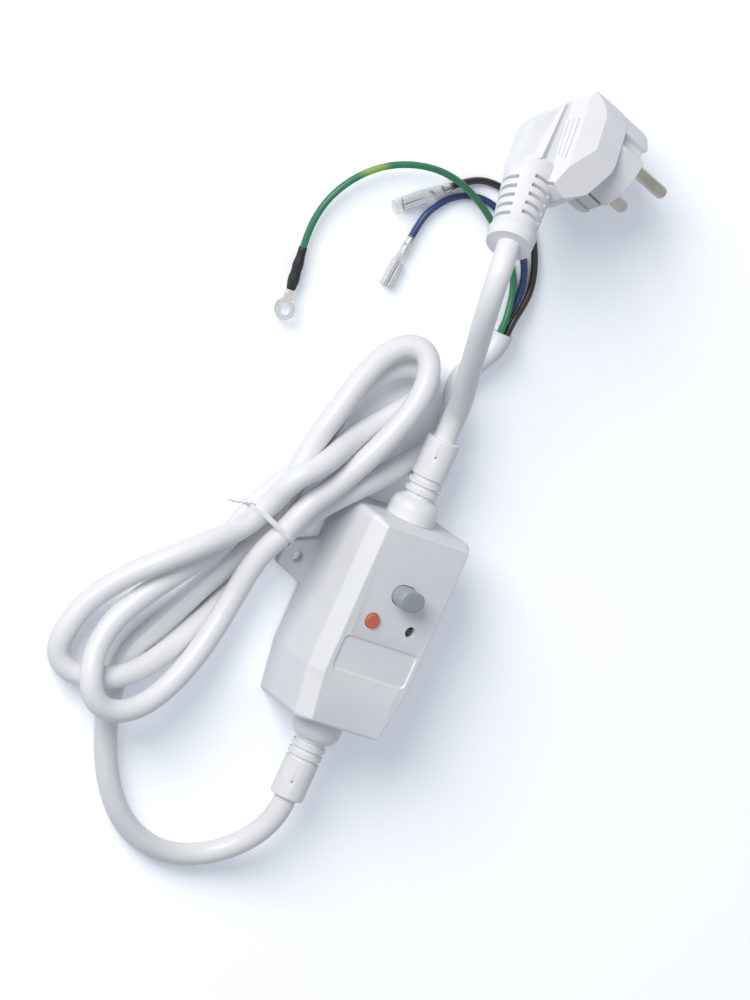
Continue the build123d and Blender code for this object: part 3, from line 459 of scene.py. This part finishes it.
def clear_film():
    material, tree = empty_material("clear_film")
    finish = tree.nodes["Principled BSDF"]
    finish.inputs["Base Color"].default_value = (0.86, 0.89, 0.92, 1)
    finish.inputs["Alpha"].default_value = FILM_ALPHA
    finish.inputs["Specular IOR Level"].default_value = FILM_GLINT
    where = own_place(tree)
    smears = onto_range(tree, noise_node(tree, where, SMEARS, 4), *SMEAR_GLOSS)
    tree.links.new(smears, finish.inputs["Roughness"])
    add_bump(tree, noise_node(tree, where, WRINKLES), WRINKLE_STRENGTH, WRINKLE_DEPTH)
    return material


sleeve_plastic = clear_film()
print(sleeve_plastic.name, "lets through", round(1 - FILM_ALPHA, 2))

# %% [markdown]
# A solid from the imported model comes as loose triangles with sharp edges, and light never catches a
# sharp edge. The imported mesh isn't touched. A copy is merged into one skin, the triangles of each
# flat face are joined, and a narrow bevel rounds every edge, as a mould or a press does. The bevel
# could be cut into the mesh, but as a modifier it is one width for each piece, and the skin below it
# stays simple.

# %% Finished copies of the solids
SAME_PLACE = 0.002
SAME_PLANE = 0.4
CREASE = 35


def merged_mesh(name, node):
    """A node's mesh as one skin: doubles merged and coplanar triangles joined."""
    form = bmesh.new()
    form.from_mesh(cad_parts[node].data)
    bmesh.ops.remove_doubles(form, verts=form.verts, dist=SAME_PLACE * MM)
    bmesh.ops.dissolve_limit(form, angle_limit=radians(SAME_PLANE), verts=form.verts, edges=form.edges)
    mesh = bpy.data.meshes.new(name)
    form.to_mesh(mesh)
    form.free()
    return mesh


def shade(mesh, crease):
    """Smooth shading that keeps edges sharper than the crease angle."""
    mesh.polygons.foreach_set("use_smooth", [True] * len(mesh.polygons))
    mesh.set_sharp_from_angle(angle=radians(crease))


def round_edges(piece, width, steps=2, crease=CREASE):
    bevel = piece.modifiers.new("round_edges", "BEVEL")
    bevel.width = width * MM
    bevel.segments = steps
    bevel.limit_method = "ANGLE"
    bevel.angle_limit = radians(crease)
    bevel.harden_normals = True


def settle(piece, body, slot, material, *nodes):
    """Puts a piece on its body, with its finish and the solids that it stands for."""
    piece.data.materials.append(material)
    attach(piece, body)
    if nodes:
        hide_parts(*nodes)


def finished(node, body, slot, material, width, steps=2):
    """A rounded copy of a node in its finish; the bevel's width is in millimetres."""
    mesh = merged_mesh(node + "_finished", node)
    shade(mesh, CREASE)
    piece = join_collection(bpy.data.objects.new(node + "_finished", mesh))
    round_edges(piece, width, steps)
    settle(piece, body, slot, material, node)
    print(piece.name, len(mesh.polygons), "faces")
    return piece


finished("base_shell", "housing", "housing", box_plastic, 0.3)
finished("top_cover", "housing", "housing", box_plastic, 0.3)
finished("inlet_strain_relief", "housing", "lead_sheath", sheath_plastic, 0.35)
finished("outlet_strain_relief", "housing", "lead_sheath", sheath_plastic, 0.35)
finished("housing_screws", "housing", "screw_steel", screw_metal, 0.15)
finished("reset_button", "reset_button", "reset_grey", reset_plastic, 0.2)
finished("test_button", "test_button", "test_red", test_plastic, 0.15)
finished("indicator_led", "housing", "lamp_lens", lamp_plastic, 0.1)


# %% [markdown]
# The plug is one soft moulding over a hard insert. Its pins are turned and plated, and two spring
# clips in side recesses make the earth contact. All of that is in the solids, so the same rounded
# copies do, with a wide, three-step bevel for the soft moulding and narrow ones for the metal.

# %% Plug
plug_pieces = [
    finished("plug_body", "housing", "plug_white", plug_plastic, 0.6, 3),
    finished("plug_insert", "housing", "plug_white", plug_plastic, 0.3),
    finished("line_pin", "housing", "pin_nickel", pin_metal, 0.15),
    finished("neutral_pin", "housing", "pin_nickel", pin_metal, 0.15),
    finished("earth_clips", "housing", "pin_nickel", pin_metal, 0.15),
    finished("earth_socket", "housing", "pin_nickel", pin_metal, 0.1),
]

# %% [markdown]
# The back of the plug has a raised step to pull it by, and three thin ribs beside it. A bump could
# draw such ribs, but they wouldn't catch light from the side. Each is a bar: a face with the bar's
# section at one end, extruded to the other end, raised along the flank's normal and sunk a little
# into the moulding so that no gap shows.

# %% Step and ribs on the plug
FLANK = Vector((-0.765, 0.548, 0.338))
STEP_ENDS = (Vector((-13.6, 196.2, 23.0)), Vector((-24.4, 176.8, 38.8)))
STEP_HEIGHT = 1.7
STEP_SLOPE = Vector((-4.3, -3.7, -2.6))
STEP_SUNK = 0.6
RIB_HEIGHT = 0.5
RIB_HALF = 0.4
RIB_ENDS = (
    (Vector((-13.6, 192.0, 27.2)), Vector((-18.1, 180.0, 36.4))),
    (Vector((-12.5, 193.1, 28.1)), Vector((-17.4, 180.2, 37.8))),
    (Vector((-11.3, 194.1, 29.2)), Vector((-16.7, 180.4, 39.1))),
)


def new_vertices(grown):
    """The vertices among what an extrusion made."""
    return [item for item in grown["geom"] if isinstance(item, bmesh.types.BMVert)]


def bar(form, ends, section):
    """A straight bar between two places; the section is a loop of offsets."""
    first, last = ends
    end_face = form.faces.new([form.verts.new((first + offset) * MM) for offset in section])
    grown = bmesh.ops.extrude_face_region(form, geom=[end_face])
    bmesh.ops.translate(form, vec=(last - first) * MM, verts=new_vertices(grown))


def object_from(name, form, crease=CREASE):
    """Turns a bmesh into an object at the origin, with its faces outwards."""
    bmesh.ops.recalc_face_normals(form, faces=form.faces)
    mesh = bpy.data.meshes.new(name)
    form.to_mesh(mesh)
    form.free()
    shade(mesh, crease)
    print(name, len(mesh.polygons), "faces")
    return join_collection(bpy.data.objects.new(name, mesh))


def plug_grip():
    form = bmesh.new()
    low_edge = STEP_SLOPE + FLANK * 0.5
    bar(form, STEP_ENDS, (-STEP_SUNK * FLANK, STEP_HEIGHT * FLANK, low_edge, STEP_SLOPE - FLANK))
    for ends in RIB_ENDS:
        side = (ends[1] - ends[0]).cross(FLANK).normalized() * RIB_HALF
        top = FLANK * RIB_HEIGHT
        bar(form, ends, (side - top, side * 0.8 + top, top - side * 0.8, -side - top))
    piece = object_from("plug_grip", form)
    round_edges(piece, 0.2)
    settle(piece, "housing", "plug_white", plug_plastic)
    return piece


plug_pieces.append(plug_grip())


# %% [markdown]
# The closed housing hides a circuit board, coils, contacts and wires. Nobody sees their edges, so
# they keep their plain solids. They are still in the model, and would show if the cover came off, so
# each gets the finish that such a part has: resin for the board, brass for the contacts, and dark
# lacquer for the coil that senses the current.

# %% Inner parts
inner_finishes = {
    board_resin: ("circuit_board",),
    unit_plastic: ("board_components", "contact_frame", "contact_carrier"),
    brass_metal: ("fixed_contacts", "moving_contacts", "test_post", "test_leaf", "trip_coil"),
    coil_lacquer: ("sensing_coil",),
    screw_metal: ("trip_plunger",),
    brown_skin: ("inner_line_wires",),
    blue_skin: ("inner_neutral_wires",),
    earth_skin: ("inner_earth_wire",),
}
for material, nodes in inner_finishes.items():
    for node in nodes:
        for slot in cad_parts[node].material_slots:
            slot.material = material
print("inner parts", sum(len(nodes) for nodes in inner_finishes.values()))


# %% [markdown]
# A coil spring under the reset button pushes it back out, and gets shorter as the button goes in. A
# piece that rides on one body can't change its length, so the spring's copy stays with the housing.


def return_spring():
    mesh = merged_mesh("return_spring", "reset_spring")
    shade(mesh, 60)
    spring = join_collection(bpy.data.objects.new("return_spring", mesh))
    settle(spring, "housing", "screw_steel", screw_metal, "reset_spring")
    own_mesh(spring)


return_spring()


# %% [markdown]
# Each wire ends in a crimped terminal that points wherever the wire happens to point. Drawing it
# there, at a slant, would be hard work. It is drawn in millimetres along a plain Z axis instead, and
# one matrix turns, shrinks and moves it to the wire's end. The last two points of the route give the
# direction.

# %% Frames at the wire ends
def end_frame(route):
    """A matrix at a wire's end: Z along the wire, X level across it; millimetres in, metres out."""
    before, end = (Vector(point) for point in route[-2:])
    along = (end - before).normalized()
    across = Vector((-along.y, along.x, 0)).normalized()
    turn = Matrix((across, along.cross(across), along)).transposed().to_4x4()
    return Matrix.Translation(end * MM) @ turn @ Matrix.Scale(MM, 4)


neutral_end = end_frame(neutral_route)
line_end = end_frame(line_route)
earth_end = end_frame(earth_route)
print("the earth wire ends at", [round(part, 4) for part in earth_end.translation])

# %% [markdown]
# The blue and brown wires end in push-on receptacles pressed from tinned strip. One claw folds round
# the insulation, one round the strands, and the mouth is a flat box whose edges curl in over the
# blade. A flat strip could be bent by modifiers, but each part is really a profile that runs along or
# round the wire. So a chain of edges is extruded for the floor, the mouth and its tongue, and spun
# for the claws. Solidify then gives the strip its thickness.

# %% Receptacles
STRIP = 0.32
FLOOR_EDGE = [(-1.0, -1.15, -1.4), (1.0, -1.15, -1.4)]
FLOOR_LENGTH = 10.4
MOUTH_START = 8.7
MOUTH_LENGTH = 9.0
TONGUE_EDGE = [(-0.5, -0.95, 11.0), (0.5, -0.95, 11.0)]
TONGUE_RISE = (0, 0.8, 2.2)
MOUTH_HALF = [
    (1.3, -0.95), (1.85, -0.86), (2.08, -0.5), (2.12, 0.2), (2.05, 0.72), (1.75, 0.98), (1.2, 1.0),
    (0.62, 0.92), (0.34, 0.62), (0.30, 0.10),
]


def line_of(form, points):
    """A chain of edges through the points."""
    knots = [form.verts.new(point) for point in points]
    return [form.edges.new(pair) for pair in zip(knots, knots[1:])]


def extrude_edges(form, edges, step):
    grown = bmesh.ops.extrude_edge_only(form, edges=edges)
    bmesh.ops.translate(form, vec=step, verts=new_vertices(grown))


def claw(form, radius, start, length, opening):
    """A strip curled round the wire, open at the top."""
    half = radians(opening / 2)
    edges = line_of(form, [(0, radius, start), (0, radius, start + length)])
    ends = list({vert for edge in edges for vert in edge.verts})
    bmesh.ops.rotate(form, cent=(0, 0, 0), matrix=Matrix.Rotation(half, 3, "Z"), verts=ends)
    sweep = 2 * pi - 2 * half
    bmesh.ops.spin(form, geom=edges + ends, cent=(0, 0, 0), axis=(0, 0, 1), angle=sweep, steps=18)


def receptacle(name, where):
    form = bmesh.new()
    claw(form, radius=1.45, start=-1.0, length=2.4, opening=30)
    claw(form, radius=1.15, start=2.3, length=3.2, opening=12)
    extrude_edges(form, line_of(form, FLOOR_EDGE), (0, 0, FLOOR_LENGTH))
    section = [(-x, y) for x, y in reversed(MOUTH_HALF)] + MOUTH_HALF
    mouth = line_of(form, [(x, y, MOUTH_START) for x, y in section])
    extrude_edges(form, mouth, (0, 0, MOUTH_LENGTH))
    extrude_edges(form, line_of(form, TONGUE_EDGE), TONGUE_RISE)
    bmesh.ops.transform(form, matrix=where, verts=form.verts)
    piece = object_from(name, form, 50)
    skin = piece.modifiers.new("strip", "SOLIDIFY")
    skin.thickness = STRIP * MM
    skin.offset = 0
    round_edges(piece, 0.06, steps=1, crease=60)
    return piece


neutral_receptacle = receptacle("neutral_receptacle", neutral_end)
settle(neutral_receptacle, "housing", "terminal_tin", tinned_metal, "neutral_terminal")
line_receptacle = receptacle("line_receptacle", line_end)
settle(line_receptacle, "housing", "terminal_tin", tinned_metal, "line_terminal")


# %% [markdown]
# A soft clear sleeve is pushed over each receptacle. It grips the wire at its narrow end, widens over
# the flat mouth, and is open at both ends. A cylinder could be squashed into that shape, but rings
# give more say: each is a rounded rectangle with its own width, height and corner, and bridging one
# to the next makes the wall. Solidify thickens it inwards.

# %% Clear sleeves over the receptacles
WALL = 0.35
CORNER_STEPS = 4
NEUTRAL_SLEEVE = 20
LINE_SLEEVE = 23


def rounded_ring(form, along, half_width, half_height, corner):
    """A closed rounded rectangle of edges, at one place along the sleeve."""
    knots = []
    for quarter, (sign_x, sign_y) in enumerate(((1, 1), (-1, 1), (-1, -1), (1, -1))):
        for step in range(CORNER_STEPS + 1):
            turn = radians(90 * (quarter + step / CORNER_STEPS))
            x = sign_x * (half_width - corner) + corner * cos(turn)
            y = sign_y * (half_height - corner) + corner * sin(turn)
            knots.append(form.verts.new((x, y, along)))
    return [form.edges.new(pair) for pair in zip(knots, knots[1:] + knots[:1])]


def clear_sleeve(name, where, length):
    """An open wall; a station is a place along it, half width, half height and corner radius."""
    form = bmesh.new()
    stations = [
        (-1.6, 1.75, 1.7, 1.65), (0.6, 1.8, 1.72, 1.65), (3.0, 2.1, 1.75, 1.6), (6.5, 2.45, 1.78, 1.5),
        (9.0, 2.75, 1.8, 1.4), (length - 5.0, 2.8, 1.8, 1.3), (length - 1.6, 2.8, 1.82, 1.3),
    ]
    rings = [rounded_ring(form, *station) for station in stations]
    for one, other in zip(rings, rings[1:]):
        bmesh.ops.bridge_loops(form, edges=one + other)
    bmesh.ops.transform(form, matrix=where, verts=form.verts)
    piece = object_from(name, form, 60)
    skin = piece.modifiers.new("wall", "SOLIDIFY")
    skin.thickness = WALL * MM
    skin.offset = -1
    return piece


neutral_cover = clear_sleeve("neutral_cover", neutral_end, NEUTRAL_SLEEVE)
settle(neutral_cover, "housing", "sleeve_clear", sleeve_plastic, "neutral_sleeve")
line_cover = clear_sleeve("line_cover", line_end, LINE_SLEEVE)
settle(line_cover, "housing", "sleeve_clear", sleeve_plastic, "line_sleeve")


# %% [markdown]
# The earth wire ends in a ring terminal under a shrunk black sleeve. Heat pulls the sleeve tight, and
# leaves soft swellings over the crimp and the insulation. Sculpting them would be slow, and they are
# the same all round, so the sleeve is a wavy profile spun once round the wire's own axis. The ring
# itself is in the solids, and only needs its edges rounded.

# %% Shrunk sleeve and ring
SPIN_STEPS = 28
SLEEVE_PROFILE = [
    (0, -2.4), (1.3, -2.4), (1.52, -2.25), (1.5, -0.8), (1.56, 0.8), (1.74, 2.2), (1.95, 3.4),
    (1.98, 4.8), (1.82, 5.9), (1.86, 7.2), (2.06, 8.6), (2.1, 9.8), (1.92, 11.0), (1.72, 12.2),
    (1.66, 12.9), (1.4, 13.0), (0, 13.0),
]


def shrunk_sleeve(name, where):
    form = bmesh.new()
    edges = line_of(form, [(radius, 0, along) for radius, along in SLEEVE_PROFILE])
    geometry = edges + list({vert for edge in edges for vert in edge.verts})
    bmesh.ops.spin(
        form, geom=geometry, cent=(0, 0, 0), axis=(0, 0, 1), angle=2 * pi, steps=SPIN_STEPS, use_merge=True,
    )
    bmesh.ops.remove_doubles(form, verts=form.verts, dist=SAME_PLACE)
    bmesh.ops.transform(form, matrix=where, verts=form.verts)
    return object_from(name, form, 60)


shrunk_piece = shrunk_sleeve("shrunk_sleeve", earth_end)
settle(shrunk_piece, "housing", "shrink_black", shrunk_black, "heat_shrink")
ring_piece = finished("ring_terminal", "housing", "terminal_tin", tinned_metal, 0.2)

# %% [markdown]
# A thin plastic tie with a wire core holds the hank at its waist. It is pulled tight round whatever
# passes there, so a plain ring would float in some places and cut in at others. A tight loop round
# several strands is their hull. The cord's own line says where each strand crosses the tie's plane,
# each crossing gets a circle, and the hull of all the circles is the path of the tie.

# %% Path of the twist tie
TIE_MIDDLE = Vector((-46.5, 20.0, 0)) * MM
TIE_ACROSS = Vector((0.926, -0.378, 0)).normalized()
TIE_ALONG = Vector((0.378, 0.926, 0)).normalized()
TIE_REACH = 30 * MM
TIE_CLEAR = 0.3
TABLE_CLEAR = 0.3 * MM
CIRCLE_STEPS = 20


def sections_at_tie(cord_object):
    """Where the cord's line passes through the tie's plane, as offsets across and up."""
    places = centre_line(cord_object)
    found = []
    for before, after in zip(places, places[1:]):
        gap_before = (before - TIE_MIDDLE).dot(TIE_ALONG)
        gap_after = (after - TIE_MIDDLE).dot(TIE_ALONG)
        if gap_before * gap_after < 0:
            spot = before.lerp(after, gap_before / (gap_before - gap_after))
            across = (spot - TIE_MIDDLE).dot(TIE_ACROSS)
            if abs(across) < TIE_REACH:
                found.append((across, spot.z))
    return found


def tie_loop(sections):
    """The places round the bundle that a tight strip follows, kept above the table."""
    radius = (CORD / 2 + TIE_CLEAR) * MM
    around = []
    for across, height in sections:
        for step in range(CIRCLE_STEPS):
            turn = 2 * pi * step / CIRCLE_STEPS
            above = max(height + radius * sin(turn), TABLE_CLEAR)
            around.append(Vector((across + radius * cos(turn), above)))
    hull = [around[number] for number in convex_hull_2d(around)]
    return [TIE_MIDDLE + TIE_ACROSS * spot.x + UP * spot.y for spot in hull]


sections = sections_at_tie(outlet_cord)
tie_path = tie_loop(sections)
print("strands in the tie, in mm", [(round(across / MM, 1), round(up / MM, 1)) for across, up in sections])

# %% [markdown]
# The tie is a flat strip with a raised rib where its wire core is, and past the bundle its ends are
# twisted together. A bevelled curve may roll such a section as it goes round, so rings of edges in
# the strip's section are set upright along the path and bridged. For the tail, each ring is turned
# a bit further than the last: one strip that twists looks like two twisted ones at this size.

# %% Twist tie
STRIP_SECTION = [
    (-0.5, -0.3), (-0.5, 0.3), (-0.16, 0.42), (-0.12, 0.95), (0.12, 0.95), (0.16, 0.42), (0.5, 0.3),
    (0.5, -0.3), (0, -0.5),
]
TAIL_START = Vector((-64.5, 27.6, 22.0)) * MM
TAIL_FINISH = Vector((-74.5, 25.7, 20.5)) * MM
TAIL_STEPS = 40
TAIL_TWIST = 5 * pi


def strip_along(name, places, width, thickness, normal, twist=0.0, closed=False):
    """A flat strip swept along the places, across their normal, and turned as it goes."""
    form = bmesh.new()
    rings = []
    count = len(places)
    for number, here in enumerate(places):
        before = places[number - 1] if number or closed else here
        after = places[(number + 1) % count] if number < count - 1 or closed else here
        along = (after - before).normalized()
        turn = Matrix.Rotation(twist * number / count, 3, along)
        side = turn @ normal * width * MM
        out = turn @ normal.cross(along).normalized() * thickness * MM
        knots = [form.verts.new(here + side * x + out * y) for x, y in STRIP_SECTION]
        rings.append([form.edges.new(pair) for pair in zip(knots, knots[1:] + knots[:1])])
    pairs = list(zip(rings, rings[1:]))
    if closed:
        pairs.append((rings[-1], rings[0]))
    for one, other in pairs:
        bmesh.ops.bridge_loops(form, edges=one + other)
    if not closed:
        bmesh.ops.holes_fill(form, edges=rings[0] + rings[-1], sides=len(STRIP_SECTION))
    return object_from(name, form, 50)


tie_band = strip_along("tie_band", tie_path, width=1.9, thickness=0.55, normal=TIE_ALONG, closed=True)
settle(tie_band, "housing", "tie_white", tie_plastic, "cable_tie")

tail_places = [TAIL_START.lerp(TAIL_FINISH, number / TAIL_STEPS) for number in range(TAIL_STEPS + 1)]
tail_normal = (TAIL_FINISH - TAIL_START).cross(UP).normalized()
tie_end = strip_along(
    "tie_end", tail_places, width=1.3, thickness=0.4, normal=tail_normal, twist=TAIL_TWIST,
)
settle(tie_end, "housing", "tie_white", tie_plastic)


# %% [markdown]
# A real lead has one length, whatever shape it lies in, so the length of every free cord along its
# smooth line is worked out and printed. The long lead's sheath is cut bare, and its three wires go on
# from there to their terminals.

# %% Cords, their finishes and their lengths
def line_length(places):
    return sum((after - before).length for before, after in zip(places, places[1:]))


def declare(cord_object, points, diameter, nodes, **facts):
    """Puts a cord on the housing, hides the solids that it stands for and prints how long it is."""
    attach(cord_object, "housing")
    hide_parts(*nodes)
    length = line_length(centre_line(cord_object))
    print(cord_object.name, "is", round(length, 4), "m long")


for cord_object, material, finish in (
    (outlet_cord, sheath_plastic, "lead_sheath"), (plug_cord, sheath_plastic, "lead_sheath"),
    (earth_cord, earth_skin, "wire_green"), (neutral_cord, blue_skin, "wire_blue"),
    (line_cord, brown_skin, "wire_brown"),
):
    cord_object.data.materials.append(material)

declare(
    outlet_cord, lead_route, CORD, ["outlet_lead", "lead_hank", "lead_tail"],
    far_end="bare", stiffness="medium", lay="coiled", with_pieces=[tie_band, tie_end],
)
declare(
    plug_cord, plug_lead_route, CORD, ["plug_lead"],
    far_end="plug", stiffness="medium", lay="loose", with_pieces=plug_pieces,
)
declare(
    earth_cord, earth_route, WIRE, ["earth_wire"],
    far_end="connector", stiffness="limp", lay="loose", with_pieces=[shrunk_piece, ring_piece],
)
declare(
    neutral_cord, neutral_route, WIRE, ["neutral_wire"],
    far_end="connector", stiffness="limp", lay="loose", with_pieces=[neutral_receptacle, neutral_cover],
)
declare(
    line_cord, line_route, WIRE, ["line_wire"],
    far_end="connector", stiffness="limp", lay="loose", with_pieces=[line_receptacle, line_cover],
)


# %% [markdown]
# The object lies on a white table that runs on to a white background, with only pale shadows to show
# where the table is. More light would wash the white plastic out before the table is white. So the
# table has two colours. Rays from the camera, off gloss or through film see a bright one, which
# clips to white outside the shadows, and the light that bounces up on the object sees white paper.

# %% Table
TABLE_HALF = 6
PAPER = (0.72, 0.74, 0.78)
SEEN_WHITE = (1.52, 1.55, 1.6)


def seen_rays(tree):
    """1 for a ray from the camera, off a glossy face or through a clear piece, else 0."""
    path = tree.nodes.new("ShaderNodeLightPath")
    value = path.outputs["Is Camera Ray"]
    for name in ("Is Glossy Ray", "Is Transmission Ray"):
        larger = tree.nodes.new("ShaderNodeMath")
        larger.operation = "MAXIMUM"
        tree.links.new(value, larger.inputs[0])
        tree.links.new(path.outputs[name], larger.inputs[1])
        value = larger.outputs["Value"]
    return value


def table_paint():
    material, tree = empty_material("table_paint")
    tree.nodes.remove(tree.nodes["Principled BSDF"])
    shown = two_colours(tree, seen_rays(tree), PAPER, SEEN_WHITE)
    paint = tree.nodes.new("ShaderNodeBsdfDiffuse")
    tree.links.new(shown, paint.inputs["Color"])
    tree.links.new(paint.outputs["BSDF"], tree.nodes["Material Output"].inputs["Surface"])
    return material


def make_table():
    form = bmesh.new()
    bmesh.ops.create_grid(form, x_segments=1, y_segments=1, size=TABLE_HALF)
    table = object_from("table", form)
    table.data.materials.append(table_paint())


make_table()


# %% [markdown]
# The photograph's light is soft and comes from the upper left, and the shaded sides are only a little
# darker. A sun lamp would draw hard shadows. A large round area lamp far out to the left gives soft
# ones, and a faint bluish sky fills them from all round. The world has two backgrounds, in the same
# way as the table has two colours: the dim one lights the object, and the camera sees plain white.

# %% Lights
AIM = Vector((-0.01, 0.03, 0.01))
WINDOW_PLACE = Vector((-2.0, 1.1, 1.25))
WINDOW_SIZE = 1.5
WINDOW_POWER = 50
WINDOW_COLOUR = (1.0, 0.985, 0.96)
SKY_COLOUR = (0.86, 0.91, 1.0, 1)
SKY_STRENGTH = 0.4


def make_window():
    light = bpy.data.lights.new("window", "AREA")
    light.shape = "DISK"
    light.size = WINDOW_SIZE
    light.energy = WINDOW_POWER
    light.color = WINDOW_COLOUR
    lamp = join_collection(bpy.data.objects.new("window", light))
    lamp.location = WINDOW_PLACE
    lamp.rotation_euler = (AIM - WINDOW_PLACE).to_track_quat("-Z", "Y").to_euler()
    print("window lamp", round((AIM - WINDOW_PLACE).length, 2), "m away")


def make_sky():
    sky = bpy.data.worlds.new("sky")
    bpy.context.scene.world = sky
    sky.use_nodes = True
    tree = sky.node_tree
    light = tree.nodes["Background"]
    light.inputs["Color"].default_value = SKY_COLOUR
    light.inputs["Strength"].default_value = SKY_STRENGTH
    shown = tree.nodes.new("ShaderNodeBackground")
    shown.inputs["Strength"].default_value = 1.0
    mix = tree.nodes.new("ShaderNodeMixShader")
    tree.links.new(seen_rays(tree), mix.inputs["Fac"])
    tree.links.new(light.outputs["Background"], mix.inputs[1])
    tree.links.new(shown.outputs["Background"], mix.inputs[2])
    tree.links.new(mix.outputs["Shader"], tree.nodes["World Output"].inputs["Surface"])


make_window()
make_sky()
